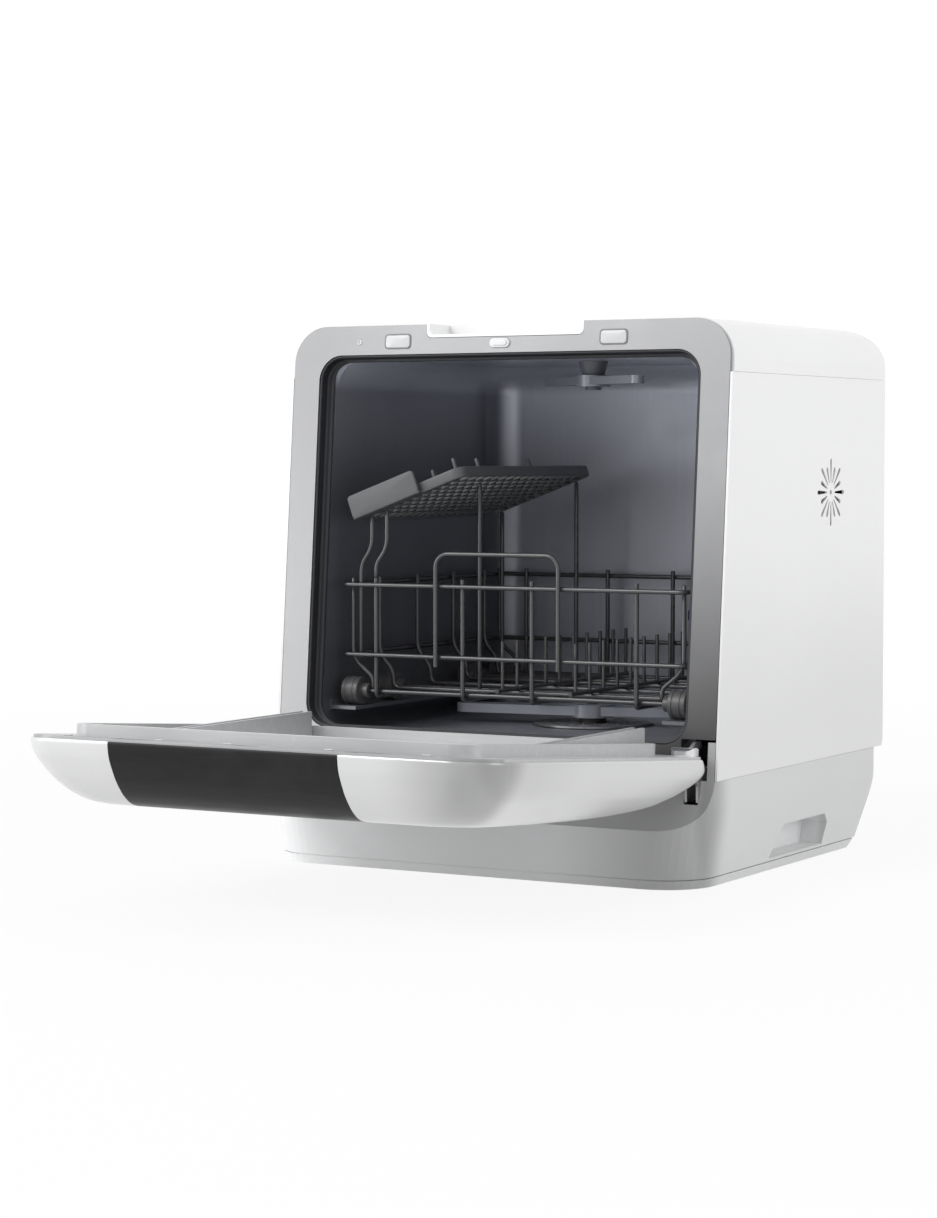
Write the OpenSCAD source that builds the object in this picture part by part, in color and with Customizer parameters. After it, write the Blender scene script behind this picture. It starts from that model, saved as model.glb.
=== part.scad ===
// Countertop dishwasher with a leaning front frame, a drop-down door and a wire basket on wheels.
// Millimetres, +Z up, the front faces -Y. The origin is the centre of the footprint on the worktop.
// The door is drawn fully open and the basket fully in.

/* [Housing] */
// Overall width
house_w = 420; // [410:1:430]
// Height of the front frame's top edge
house_h = 458; // [454:1:466]
// Depth from the toe's front to the side panels' rear edge
house_d = 384; // [380:1:396]
// Backward lean of the front frame, in degrees
lean = 4.64; // [4.2:0.1:5]
// Set-back of the front face's foot from the toe's front
face_inset = 24; // [22:1:26]
// Radius of the top corners seen from the front
corner_r = 34; // [28:1:38]
// Sheet thickness of the side panels
sheet = 2; // [1.5:0.1:2.5]
// Wall of the moulded covers
wall = 3; // [2.4:0.1:3.4]
// Height of the top cover below the frame's top edge
cover_h = 44; // [42:1:50]
// Radius of the cover's rear top edge
cover_rear_r = 26; // [20:1:30]
// Gap between fixed pieces that touch
seat_gap = 0.2; // [0.1:0.05:0.3]

/* [Base] */
// Height of the base moulding
base_h = 86; // [84:1:88]
// Radius of the base's front corners seen from above
base_front_r = 44; // [38:1:50]
// Radius of the base's rear corners seen from above
base_rear_r = 26; // [20:1:30]
// Inward taper of the base's sides at the worktop
base_taper = 9; // [6:1:11]
// Radius of the hollow below the door
cove_r = 48; // [46:1:50]
// Length of each carrying grip
grip_l = 118; // [100:1:124]
// Height of each carrying grip's roof
grip_h = 37; // [32:1:40]
// Depth of each carrying grip
grip_depth = 22; // [18:1:24]
// Height of the line cut round the toe
toe_line_z = 7; // [4:0.5:12]
// Diameter of the rubber feet
foot_d = 28; // [24:1:32]

/* [Connections] */
// Outer diameter of the water inlet's thread
inlet_d = 26.4; // [26.2:0.1:26.5]
// Outer diameter of the drain spout
drain_d = 19; // [18:0.5:20]
// Hole of the cord gland
gland_d = 8; // [7:0.5:9]

/* [Frame and tub] */
// Width of the frame's border beside the opening
border_side = 25.5; // [23:0.5:28]
// Rise of the opening's lower edge above the base
open_rise = 27.8; // [27:0.2:28.6]
// Width of the frame's top border
border_top = 25; // [24:1:27]
// Radius of the opening's corners
open_r = 22; // [18:1:24]
// Thickness of the frame
frame_t = 3; // [2.4:0.1:3.6]
// Depth of the frame's return round the opening
return_d = 14; // [12:1:16]
// Thickness of the rubber seal
seal_t = 2.5; // [2:0.1:3]
// Step from the opening's side in to the tub's side
tub_step = 8; // [7:0.5:10]
// Inner face of the tub's back wall, from the side panels' rear edge
tub_back = 23; // [20:1:26]
// Rise of the tub's floor above the base
floor_rise = 22; // [20:0.5:23]
// Room between the tub's ceiling and the top of the cover
tub_head = 28; // [27:0.5:32]
// Wall of the tub
tub_wall = 1.5; // [1:0.1:2]
// Distance of the spray arms' axis behind the origin
spray_y = 30; // [24:1:34]
// Diameter of the tubes that the spray arms turn on
spray_tube_d = 10; // [9:0.5:11]
// Radial clearance of the spray arms
spray_clear = 0.06; // [0.04:0.01:0.08]
// Diameter of the fan's shaft
fan_shaft_d = 4; // [3.5:0.5:5]
// Radial clearance of the fan
fan_clear = 0.05; // [0.03:0.01:0.08]
// Clearance round the catch
catch_clear = 0.25; // [0.15:0.05:0.35]
// Radius of the sump's mouth
sump_r = 55; // [48:1:60]
// Depth of the sump
sump_depth = 46; // [40:1:50]

/* [Door] */
// Rise of the hinge axis above the base, along the frame
hinge_rise = 10.5; // [10:0.1:11.5]
// Distance of the hinge axis in front of the frame
hinge_n = 10.4; // [10:0.1:11]
// Diameter of the hinge pins
pin_d = 6; // [5:0.5:7]
// Radial clearance of the hinge pins
pin_clear = 0.05; // [0.03:0.01:0.08]
// Distance of the door's edge inside the housing's side
door_side = 4; // [3:0.5:6]
// Gap between the closed door's rim and the frame
rim_gap = 1; // [0.8:0.1:1.4]
// Thickness of the liner's flange
flange_t = 3.5; // [3:0.1:4]
// Wall of the door's outer shell
shell_t = 3; // [2.4:0.1:3.4]
// Height of the liner's raised lip
lip_h = 9; // [8:0.5:10]
// Width of the liner's raised lip
lip_t = 3; // [2.6:0.1:3.4]
// Gap between the lip and the seal when closed
lip_gap = 2; // [1.8:0.1:2.4]
// Depth of the liner's basin below the rim
basin_d = 17; // [15:1:18]
// Distance of the control panel from the door's left edge
panel_left = 89; // [84:1:94]
// Distance of the control panel from the door's right edge
panel_right = 121; // [116:1:126]
// Length of the control panel down the door's face
panel_l = 50; // [44:1:56]
// Length of the detergent dispenser across the door
disp_w = 96; // [88:1:104]
// Length of the detergent dispenser along the door
disp_l = 70; // [64:1:74]
// Diameter of the rinse-aid cap's plug
cap_d = 20; // [18:0.5:22]
// Radial clearance of the rinse-aid cap
cap_clear = 0.06; // [0.04:0.01:0.08]

/* [Basket] */
// Gap between the basket's rails and the tub's side
basket_side = 11; // [10:0.5:12]
// Gap between the basket's rear rail and the tub's back
basket_back = 14; // [12:0.5:18]
// Distance of the basket's front rail behind the toe
basket_front = 67; // [66:0.5:68]
// Diameter of the basket's wires
wire_d = 4; // [3.6:0.1:4.2]
// Rise of the upper rail above the tracks
rail_hi_rise = 105; // [100:1:110]
// Rise of the lower rail above the tracks
rail_lo_rise = 44.5; // [42:0.5:48]
// Rise of the tracks that the wheels roll on above the base
track_rise = 44; // [43:0.2:45]
// Diameter of the wheels
wheel_d = 24.4; // [24:0.1:24.8]
// Width of the wheels' tyres
wheel_w = 16; // [15:0.5:16.5]
// Radial clearance of the wheels on their axles
axle_clear = 0.06; // [0.04:0.01:0.08]
// Diameter of the pins that the cup shelf hangs on
shelf_pin_d = 5; // [4:0.5:6]
// Radial clearance of the cup shelf
shelf_clear = 0.06; // [0.04:0.01:0.08]
// Spacing of the two wheels of a pair
pair_gap = 58.5; // [58:0.5:60]
// Rise of the handle loop above the upper rail
handle_rise = 28; // [23:1:33]
// Width of the handle loop
handle_w = 118; // [110:1:124]
// Length by which the cutlery tray is shorter than the basket
tray_short = 37; // [36:1:40]
// Width of the cutlery tray along its slope
tray_w = 112; // [108:1:116]
// Slope of the cutlery tray, in degrees
tray_tilt = 20; // [18:1:22]
// Rise of the cutlery tray's low edge above the upper rail
tray_rise = 56; // [51:1:59]

/* [Hidden] */
$fn = 64;
eps = 0.01;
toe_line_t = 0.8;
half_w = house_w / 2;
pan_z = wall + seat_gap;
pan_t = 2;
pan_top = pan_z + pan_t + seat_gap;
toe_y = -house_d / 2;
rear_y = house_d / 2;
face_y = toe_y + face_inset;
frame_w = house_w - 2 * sheet - 1;
frame_top = (house_h - 0.3) / cos(lean);
frame_low = (base_h + 0.5) / cos(lean);
frame_r = corner_r - 2.5;
open_w = frame_w - 2 * border_side;
open_top = frame_top - border_top;
open_low = base_h + open_rise;
hinge_s = base_h + hinge_rise;

// Height along the frame (s) and distance in front of it (n), as a point [y, z] in the part.
function on_lean(s, n) = [face_y + s * sin(lean) - n * cos(lean), s * cos(lean) + n * sin(lean)];
// Y of the leaning front plane, moved out by n, at the height z.
function lean_y(z, n = 0) = face_y + z * tan(lean) - n / cos(lean);

hinge = on_lean(hinge_s, hinge_n);
cove_z = base_h + 6;
cove_y = lean_y(base_h) - sqrt(cove_r * cove_r - 36);

tub_half = open_w / 2 - tub_step;
tub_top = house_h - tub_head;
tub_y1 = rear_y - tub_back;
tub_floor = base_h + floor_rise;
tub_s0 = (tub_floor + 0.5) / cos(lean);
tub_r = 18;
cavity_z0 = tub_floor - tub_wall;
arm_x = half_w - 20;

lip_w = open_w - 2 * (seal_t + lip_gap);
lip_s0 = open_low + seal_t + lip_gap + 1;
lip_s1 = open_top - seal_t - lip_gap;
lip_r = open_r - 3;
shell_n = rim_gap + flange_t;
door_w = house_w - 2 * door_side;
door_low = base_h + 2;
door_top = frame_top;
// Place up the door, as a share of its height.
function door_rise(share) = round(door_low + share * (door_top - door_low));
// The door's outer form, in slices away from the frame: [n, inset of sides and top, low end s].
door_slices = [
    [shell_n, 0, hinge_s], [12, 1, door_low], [22, 6, door_low + 3.5], [32, 11, door_rise(0.0566)],
    [40, 17.5, door_rise(0.1185)], [46, 23.5, door_rise(0.2613)], [50, 30, door_rise(0.4634)],
    [52.5, 42, door_rise(0.7058)]
];
basin_n = rim_gap + basin_d;
track_z = base_h + track_rise;
track_y = hinge[0] + track_z - hinge[1];
rail_hi = track_z + rail_hi_rise;
rail_lo = track_z + rail_lo_rise;
handle_top = rail_hi + handle_rise;
tray_z = rail_hi + tray_rise;
arm_t = 3;
panel_x0 = -door_w / 2 + panel_left;
panel_x1 = door_w / 2 - panel_right;
disp_x = 40;
disp_s = door_top - 114.2;
disp_n = basin_n - 3;
lid_x = disp_x + 14;
cap_x = disp_x - disp_w / 2 + 18;

rail_x = tub_half - basket_side;
rail_y0 = toe_y + basket_front;
rail_y1 = tub_y1 - basket_back;
basket_l = rail_y1 - rail_y0;
tray_l = basket_l - tray_short;
tray_x = -rail_x + 13;
wheel_r = wheel_d / 2;
axle_z = track_z + wheel_r + 0.3;
wheel_x0 = rail_x - 14;
wheel_ys = [rail_y0 + 9, rail_y0 + 9 + pair_gap, rail_y1 - 9 - pair_gap, rail_y1 - 9];
cross_ys = [
    wheel_ys[1] - wheel_r - wire_d / 2 - 0.4, rail_y0 + basket_l * 59 / 140,
    rail_y0 + basket_l * 183 / 280, (wheel_ys[2] + wheel_ys[3]) / 2
];
long_xs = [-rail_x + 30, -47, 20, rail_x - 45];
floor_z = axle_z - wire_d;
tip_z = rail_hi + 6;
clip_ys = [cross_ys[0], cross_ys[2]];
shelf_z = rail_hi - 21;
shelf_x = rail_x - 15;
leg_l = 46;
travel = 236;
pan_edge = 24;
cheek_x = 4;
cheek_t = 2;
tower_s = open_low + 3.5;
tower_x = arm_x + 11;
pocket_x0 = -half_w + 136.5;
pocket_x1 = half_w - 138.5;
pocket_d = 9;
pocket_rim = 2.5;
buffer_xs = [-half_w + 106, half_w - 108];
buffer_s = frame_top - 14;
catch_x = -4.5;
catch_s = frame_top - 17;
sensor_x = -half_w + 67.5;
port_z = cavity_z0 - seat_gap - sump_depth + 12;
arm_hi_z = tub_top - 21;
arm_park = -29; // where the upper arm rests
arm_lo_z = tub_floor + 9;
vent_y = rear_y - 123;
vent_z = house_h - 143;
// Water inlet, drain and cord gland: distance in from the housing's side, and height.
inlet_in = 60;
drain_in = 110;
gland_in = 60;
rear_port_z = base_h + 44;
grip_y = 17;

// ---------------------------------------------------------------- shared shapes

// Rectangle from x0 to x1 and y0 to y1 with one corner radius below and one above.
module round_rect(x0, x1, y0, y1, r_low, r_high) {
    r_max = max(r_low, r_high);
    translate([x0, y0 + r_low]) square([x1 - x0, y1 - y0 - r_low - r_high]);
    translate([x0 + r_low, y0]) square([x1 - x0 - 2 * r_low, r_low + eps]);
    translate([x0 + r_high, y1 - r_high - eps]) square([x1 - x0 - 2 * r_high, r_high + eps]);
    for (x = [x0 + r_low, x1 - r_low]) translate([x, y0 + r_low]) circle(r_low);
    for (x = [x0 + r_high, x1 - r_high]) translate([x, y1 - r_high]) circle(r_high);
}

// Extrudes a profile drawn in [y, z] from x0 to x1.
module along_x(x0, x1) {
    translate([x0, 0, 0]) rotate([90, 0, 90]) linear_extrude(x1 - x0) children();
}

// Extrudes a profile drawn in [x, z] from y0 to y1.
module along_y(y0, y1) {
    translate([0, y1, 0]) rotate([90, 0, 0]) linear_extrude(y1 - y0) children();
}

// Frame coordinates: x, s up the leaning front, n out of it.
module on_frame() {
    translate([0, face_y, 0]) rotate([90 - lean, 0, 0]) children();
}

// Extrudes a profile drawn in [x, s] from n0 to n1 on the leaning front.
module frame_slab(n0, n1) {
    on_frame() translate([0, 0, n0]) linear_extrude(n1 - n0) children();
}

// Turns what is drawn for the closed door into the open position.
module opened() {
    translate([0, hinge[0], hinge[1]]) rotate([90, 0, 0]) translate([0, -hinge[0], -hinge[1]])
        children();
}

module both_sides() {
    children();
    mirror([1, 0, 0]) children();
}

function unit(v) = v / norm(v);
function turn_angle(a, b) = acos(max(-1, min(1, a * b)));

// Straight piece of wire from p to q.
module straight(p, q, d) {
    v = q - p;
    translate(p) rotate([0, acos(v[2] / norm(v)), atan2(v[1], v[0])]) cylinder(d = d, h = norm(v));
}

// One bend of a wire at the corner p, from direction a to direction b.
module elbow(p, a, b, r, d) {
    angle = turn_angle(a, b);
    axis = unit(cross(a, b));
    centre = p + unit(b - a) * r / cos(angle / 2);
    out = unit(p - a * r * tan(angle / 2) - centre);
    multmatrix([
        [out[0], a[0], axis[0], centre[0]],
        [out[1], a[1], axis[1], centre[1]],
        [out[2], a[2], axis[2], centre[2]],
        [0, 0, 0, 1]
    ]) rotate_extrude(angle = angle) translate([r, 0]) circle(d = d);
}

// Length that the bend at a corner takes from each of its two straights: none at a slight kink.
function bend_cut(angle, r) = angle < 80 ? 0 : r * tan(angle / 2);

// Wire through the points of path, bent with the radius r at its square corners.
module wire(path, r, d = wire_d) {
    last = len(path) - 1;
    ways = [for (i = [0 : last - 1]) unit(path[i + 1] - path[i])];
    turns = [for (i = [0 : last]) i == 0 || i == last ? 0 : turn_angle(ways[i - 1], ways[i])];
    for (i = [0 : last - 1])
        straight(path[i] + ways[i] * bend_cut(turns[i], r),
            path[i + 1] - ways[i] * bend_cut(turns[i + 1], r), d);
    for (i = [1 : last - 1])
        if (turns[i] < 80) translate(path[i]) sphere(d = d / cos(turns[i] / 2) + 0.2);
        else elbow(path[i], ways[i - 1], ways[i], r, d);
}

// Closed rectangular loop of wire at the height z, through x = +-x and y0, y1.
module wire_loop(x, y0, y1, z, r) {
    middle = [0, y0, z];
    wire([middle, [x, y0, z], [x, y1, z], [-x, y1, z], [-x, y0, z], middle], r);
}

// ---------------------------------------------------------------- housing

// Side profile of the base, with the toe, the hollow below the door and the stepped rear.
module base_profile(inset) {
    difference() {
        polygon([
            [toe_y + inset, inset], [rear_y - 62 - inset, inset], [rear_y - 46 - inset, 9],
            [rear_y - 16 - inset, 62], [rear_y - 4 - inset, 68], [rear_y - 3 - inset, base_h],
            [lean_y(base_h) + inset, base_h], [toe_y + inset, base_h]
        ]);
        translate([cove_y, cove_z]) circle(cove_r + inset);
        translate([toe_y - 20, 40]) square([cove_y - toe_y + 20, 60]);
    }
}

// Plan of the base with its rounded corners, drawn in at the sides by taper.
module base_plan(taper, inset) {
    t = taper + inset;
    round_rect(-half_w + t, half_w - t, toe_y + inset, rear_y - inset,
        base_front_r - inset, base_rear_r - inset, $fn = 40);
}

module base_body(inset) {
    intersection() {
        hull() {
            translate([0, 0, -1]) linear_extrude(eps) base_plan(base_taper, inset);
            translate([0, 0, base_h * 0.72]) linear_extrude(base_h * 0.28) base_plan(0, inset);
        }
        along_x(-half_w, half_w) base_profile(inset);
    }
}

// Thin line cut round the toe, a little above the worktop.
module toe_line() {
    translate([0, 0, toe_line_z]) linear_extrude(toe_line_t) difference() {
        square(2 * house_w, center = true);
        base_plan(base_taper, toe_line_t);
    }
}

// Outline of a carrying grip seen from the side.
module grip_shape(grow) {
    low = [grip_y - grip_l / 2 - grow, grip_y + grip_l / 2 + grow];
    polygon([
        [low[0], 10], [low[0] + 14, grip_h - 8 + grow], [low[0] + 24, grip_h + grow],
        [low[1] - 8, grip_h + grow], [low[1], grip_h - 8 + grow], [low[1] - 6, 10]
    ]);
}

module base_moulding() color("gainsboro") {
    difference() {
        union() {
            difference() {
                base_body(0);
                translate([0, 0, 2 * eps]) base_body(wall);
                translate([-half_w + pan_edge, toe_y + pan_edge, -1])
                    cube([house_w - 2 * pan_edge, house_d - pan_edge - 76, wall + 10]);
                toe_line();
            }
            both_sides() intersection() {
                base_body(0);
                along_x(half_w - grip_depth - base_taper, half_w) grip_shape(wall);
            }
            both_sides() hinge_tower();
        }
        both_sides() along_x(half_w - grip_depth - base_taper + wall, half_w + 1) grip_shape(0);
        both_sides() hinge_slot();
    }
}

// Upright beside the hinge, flush with the front frame.
module hinge_tower() {
    frame_slab(-frame_t, 0)
        translate([tower_x, base_h - 4]) square([frame_w / 2 - tower_x, tower_s - base_h + 4]);
}

// Slot that the hinge arm and its cover move in.
module hinge_slot() {
    translate([arm_x - 7, hinge[0] - 12, hinge[1] - 30]) cube([13, 46, 34]);
}

module base_pan() color("silver") {
    difference() {
        translate([0, 0, pan_z]) linear_extrude(pan_t)
            round_rect(-half_w + pan_edge - 5, half_w - pan_edge + 5, toe_y + pan_edge - 5,
                toe_y + house_d - 73, 24, 6);
        foot_places() translate([0, 0, -1]) cylinder(d = 5, h = 20);
    }
    for (x = [-tub_half + 24, tub_half - 24], y = [toe_y + 62, rear_y - 86])
        translate([x, y, pan_z + 1]) cylinder(d = 14, h = cavity_z0 - pan_z - 1 - seat_gap);
}

module foot_places() {
    for (x = [-1, 1], y = [toe_y + 44, rear_y - 92])
        translate([x * (half_w - 46), y, 0]) children();
}

module feet() color("dimgray") {
    foot_places() {
        cylinder(d1 = foot_d - 2, d2 = foot_d, h = pan_z - 0.1);
        cylinder(d = 4.8, h = pan_top + 2);
    }
}

// Side panel, cut to the lean of the front.
module side_sheet() {
    along_x(half_w - sheet, half_w) polygon([
        [lean_y(base_h), base_h + seat_gap], [rear_y - 3, base_h + seat_gap],
        [rear_y, base_h + 6], [rear_y, house_h - cover_h - seat_gap],
        [lean_y(house_h - cover_h), house_h - cover_h - seat_gap]
    ]);
    translate([half_w - 12, rear_y - sheet, base_h + 6]) cube([12, sheet, house_h - cover_h - base_h - 8]);
}

module side_panel_left() color("white") mirror([1, 0, 0]) side_sheet();

// Sunburst of tapering slots.
module vent_slots() {
    for (i = [0 : 15]) rotate([0, 0, i * 22.5]) {
        r1 = i % 2 == 0 ? 29 : 23;
        polygon([[8.5, -0.7], [r1 - 2, -1.9], [r1, -1], [r1, 1], [r1 - 2, 1.9], [8.5, 0.7]]);
    }
    circle(2.2);
}

module side_panel_right() color("white") difference() {
    side_sheet();
    translate([half_w - sheet - 1, vent_y, vent_z]) rotate([90, 0, 90])
        linear_extrude(sheet + 2) vent_slots();
}

// Outer form of the top cover, less an inset.
module cover_form(inset) {
    low = house_h - cover_h;
    back = rear_y - inset;
    intersection() {
        along_y(face_y, rear_y) translate([0, low])
            round_rect(-half_w + inset, half_w - inset, -60, cover_h - inset, 1, corner_r - inset);
        along_x(-half_w, half_w) difference() {
            polygon([[lean_y(low), low], [lean_y(house_h), house_h], [back, house_h], [back, low]]);
            translate([rear_y - cover_rear_r, house_h - cover_rear_r]) difference() {
                square(cover_rear_r + 5);
                circle(cover_rear_r - inset);
            }
        }
    }
}

// Finger pocket in the cover's front edge.
module pocket_form(grow) {
    along_y(face_y, lean_y(house_h) + 34 + grow)
        round_rect(pocket_x0 - grow, pocket_x1 + grow, house_h - pocket_d - grow, house_h + 20, 5, 1);
}

// Notch in the frame that the pocket's rim fills.
module notch_outline(gap) {
    g = pocket_rim + gap;
    round_rect(pocket_x0 - g, pocket_x1 + g, frame_top - pocket_d - g, frame_top + 30, 5, 1);
}

module top_cover() color("white") difference() {
    union() {
        difference() {
            cover_form(0);
            cover_form(wall);
            frame_slab(-frame_t - seat_gap, 10) frame_outline(5);
        }
        intersection() {
            cover_form(0);
            pocket_form(pocket_rim);
        }
    }
    pocket_form(0);
}

module rear_panel() color("white") {
    h = house_h - cover_h - base_h - 2;
    y = rear_y - sheet - 3;
    difference() {
        union() {
            translate([-half_w + sheet + 1, y, base_h + seat_gap]) cube([house_w - 2 * sheet - 2, sheet, h]);
            translate([0, y, base_h]) for (x = [-half_w + 90, half_w - 90])
                translate([x - 4, -3, 20]) cube([8, 3.5, h - 40]);
        }
        for (x = [-40 : 8 : 40])
            translate([x - 1.5, y - 5, base_h + 30]) cube([3, 12, 30]);
        translate([-half_w + inlet_in, y - 5, rear_port_z]) rotate([-90, 0, 0]) cylinder(d = 30, h = 14);
        translate([-half_w + drain_in, y - 5, rear_port_z]) rotate([-90, 0, 0]) cylinder(d = 24, h = 14);
        translate([half_w - gland_in, y - 5, rear_port_z]) rotate([-90, 0, 0]) cylinder(d = 14, h = 14);
        rear_screw_places() translate([0, -6, 0]) rotate([-90, 0, 0]) cylinder(d = 4.4, h = 12);
    }
}

module rear_screw_places() {
    y = rear_y - 3;
    for (x = [-half_w + 22, half_w - 22], z = [base_h + 24, house_h - cover_h - 22])
        translate([x, y, z]) children();
}

module rear_screws() color("silver") rear_screw_places() rotate([-90, 0, 0]) {
    cylinder(d = 8, h = 2.4);
    translate([0, 0, -7]) cylinder(d = 4, h = 7);
}

module frame_outline(grow) {
    round_rect(-frame_w / 2 - grow, frame_w / 2 + grow, frame_low - grow, frame_top + grow,
        2, frame_r + grow);
}

module opening_outline(grow) {
    round_rect(-open_w / 2 - grow, open_w / 2 + grow, open_low - grow, open_top + grow,
        open_r + grow, open_r + grow);
}

module front_frame() color("silver") difference() {
    union() {
        frame_slab(-frame_t, 0) frame_outline(0);
        frame_slab(-return_d, -frame_t) difference() {
            opening_outline(2.5);
            opening_outline(0);
        }
    }
    frame_slab(-return_d - 1, 1) opening_outline(0);
    frame_slab(-frame_t - 1, 1) {
        notch_outline(seat_gap);
        for (x = buffer_xs) translate([x, buffer_s]) square([14, 5], center = true);
        catch_outline(catch_clear);
        translate([sensor_x, buffer_s]) circle(d = 5);
    }
    both_sides() frame_slab(-frame_t - 1, 1) translate([arm_x - 13, base_h - 8])
        square([frame_w / 2 - arm_x + 20, tower_s - base_h + 10]);
}

module door_seal() color([0.12, 0.12, 0.13]) {
    frame_slab(-return_d + 3, -1) difference() {
        opening_outline(-seat_gap / 2);
        opening_outline(-seal_t);
    }
    frame_slab(-return_d, -return_d + 3 + eps) difference() {
        opening_outline(-seat_gap / 2);
        round_rect(-tub_half, tub_half, tub_s0 + 8, open_top - 5, tub_r, tub_r);
    }
}

// Inside of the tub as a block, grown by g, behind the frame's return.
module tub_block(g, front_n) {
    difference() {
        along_y(face_y - 40, tub_y1 + g)
            round_rect(-tub_half - g, tub_half + g, tub_floor - g, tub_top + g, tub_r + g, tub_r + g);
        frame_slab(front_n, 300) translate([0, 200]) square([2000, 2000], center = true);
    }
}

module tub() color([0.42, 0.44, 0.48]) difference() {
    union() {
        tub_block(tub_wall, -return_d - seat_gap);
        frame_slab(-return_d - seat_gap - tub_wall, -return_d - seat_gap) difference() {
            round_rect(-open_w / 2 - 2, open_w / 2 + 2, open_low - 8, open_top + 3, tub_r, tub_r);
            round_rect(-tub_half, tub_half, open_low - 2, open_top - 5, tub_r, tub_r);
        }
    }
    tub_block(0, -return_d + 30);
    translate([0, spray_y, 0]) cylinder(r = sump_r, h = 200);
    translate([0, spray_y, tub_top - 1]) cylinder(d = 12, h = 20);
}

// Rails along the foot of the tub's walls.
module tub_rails() color([0.36, 0.38, 0.41]) both_sides() along_y(track_y + 5, tub_y1 - 2) polygon([
    [wheel_x0 - 2, track_z - 3], [wheel_x0 - 2, track_z], [tub_half - 2.5, track_z],
    [tub_half - 2.5, track_z + 5], [tub_half - seat_gap, track_z + 5],
    [tub_half - seat_gap, track_z - 5], [tub_half - 4, track_z - 3]
]);

module sump() color("dimgray") translate([0, spray_y, 0]) {
    top = cavity_z0 - seat_gap;
    difference() {
        union() {
            translate([0, 0, top - 3]) cylinder(r = sump_r + 8, h = 3);
            translate([0, 0, top - sump_depth]) cylinder(r1 = sump_r - 14, r2 = sump_r - 4, h = sump_depth);
            translate([0, 0, port_z]) rotate([90, 0, 0]) cylinder(d = 20, h = sump_r + 8);
            translate([0, 0, top - eps]) cylinder(r = sump_r - seat_gap, h = 2);
        }
        translate([0, 0, top - sump_depth + 3])
            cylinder(r1 = sump_r - 17, r2 = sump_r - 7, h = sump_depth + 6);
        translate([0, -sump_r + 16, port_z]) rotate([90, 0, 0]) cylinder(d = 15, h = 40);
    }
    difference() {
        union() {
            translate([0, 0, top - sump_depth]) cylinder(d = 24, h = arm_lo_z - top + sump_depth - 3);
            translate([0, 0, arm_lo_z - 3 - eps]) cylinder(d = spray_tube_d, h = 13);
        }
        translate([0, 0, top - sump_depth + 8]) cylinder(d = 6, h = 80);
    }
}

module filter_plate() color("silver") translate([0, spray_y, tub_floor + 0.8]) difference() {
    cylinder(r = sump_r - 3, h = 1.6);
    translate([0, 0, -1]) cylinder(d = 24.6, h = 4);
    for (ring = [0 : 2], i = [0 : 11 + 6 * ring])
        rotate([0, 0, i * 360 / (12 + 6 * ring)]) translate([20 + 11 * ring, 0, -1])
            cylinder(d = 4, h = 4, $fn = 16);
}

// Motor, volute and outlet, lying on a saddle in front of the sump.
module circulation_pump() color("dimgray") translate([0, spray_y - sump_r - 8 - seat_gap, 0]) {
    motor_z = port_z - 8;
    translate([0, 0, port_z]) rotate([90, 0, 0]) cylinder(d = 26, h = 18);
    translate([0, -16, motor_z]) rotate([90, 0, 0]) cylinder(d = 58, h = 22);
    translate([0, -37, motor_z]) rotate([90, 0, 0]) cylinder(d = 50, h = 42);
    translate([20, -27, motor_z]) rotate([0, 60, 0]) cylinder(d = 16, h = 26);
    translate([-12, -72, pan_top]) cube([24, 30, motor_z - 20 - pan_top]);
}

module drain_pump() color("dimgray") translate([-70, spray_y + 40, pan_top]) {
    translate([-14, -30, 0]) cube([28, 60, 3]);
    cylinder(d = 44, h = 18);
    translate([0, 0, 17]) cylinder(d = 34, h = 26);
    translate([0, 0, 9]) rotate([0, 90, 0]) cylinder(d = 14, h = 36);
}

module heater() color("silver") translate([74, -66, pan_top]) {
    cylinder(d = 46, h = 70);
    translate([0, 0, 69]) cylinder(d = 20, h = 14);
}

module air_breaker() color([0.9, 0.9, 0.88]) {
    x0 = -half_w + sheet + 1.5;
    x1 = -tub_half - tub_wall - 1.5;
    foot = base_h + 64;
    h = tub_top - 70 - foot;
    y = tub_y1 - 209;
    translate([x0, y, foot]) cube([x1 - x0, 170, h]);
    translate([x0 + 4, y + 100, foot + h - 2]) cube([x1 - x0 - 9.5, 40, 24]);
    translate([x1 - 1, y + 60, foot + 50]) cube([2.5 - seat_gap, 30, 30]);
}

module inlet_valve() color("whitesmoke") translate([-half_w + inlet_in, 0, rear_port_z]) difference() {
    union() {
        translate([-16, rear_y - 12, -20]) cube([32, 7 - seat_gap, 40]);
        translate([0, rear_y - 6, 0]) rotate([-90, 0, 0]) cylinder(d = 28, h = 3.2);
        translate([0, rear_y - 3, 0]) rotate([-90, 0, 0]) cylinder(d = inlet_d, h = 19);
        translate([0, rear_y - 18, 0]) rotate([-90, 0, 0]) cylinder(d = 24, h = 10);
    }
    translate([0, rear_y - 4, 0]) rotate([-90, 0, 0]) cylinder(d = 19, h = 40);
}

module drain_outlet() color("whitesmoke") translate([-half_w + drain_in, 0, rear_port_z]) difference() {
    union() {
        translate([0, rear_y - 10, 0]) rotate([-90, 0, 0]) cylinder(d = 32, h = 5 - seat_gap);
        translate([0, rear_y - 6, 0]) rotate([-90, 0, 0]) cylinder(d = 22, h = 3.2);
        translate([0, rear_y - 3, 0]) rotate([-90, 0, 0]) cylinder(d = drain_d, h = 25);
        translate([0, rear_y + 22 - eps, 0]) rotate([-90, 0, 0])
            cylinder(d1 = drain_d, d2 = drain_d - 2, h = 3);
    }
    translate([0, rear_y - 7, 0]) rotate([-90, 0, 0]) cylinder(d = 14, h = 60);
}

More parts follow.
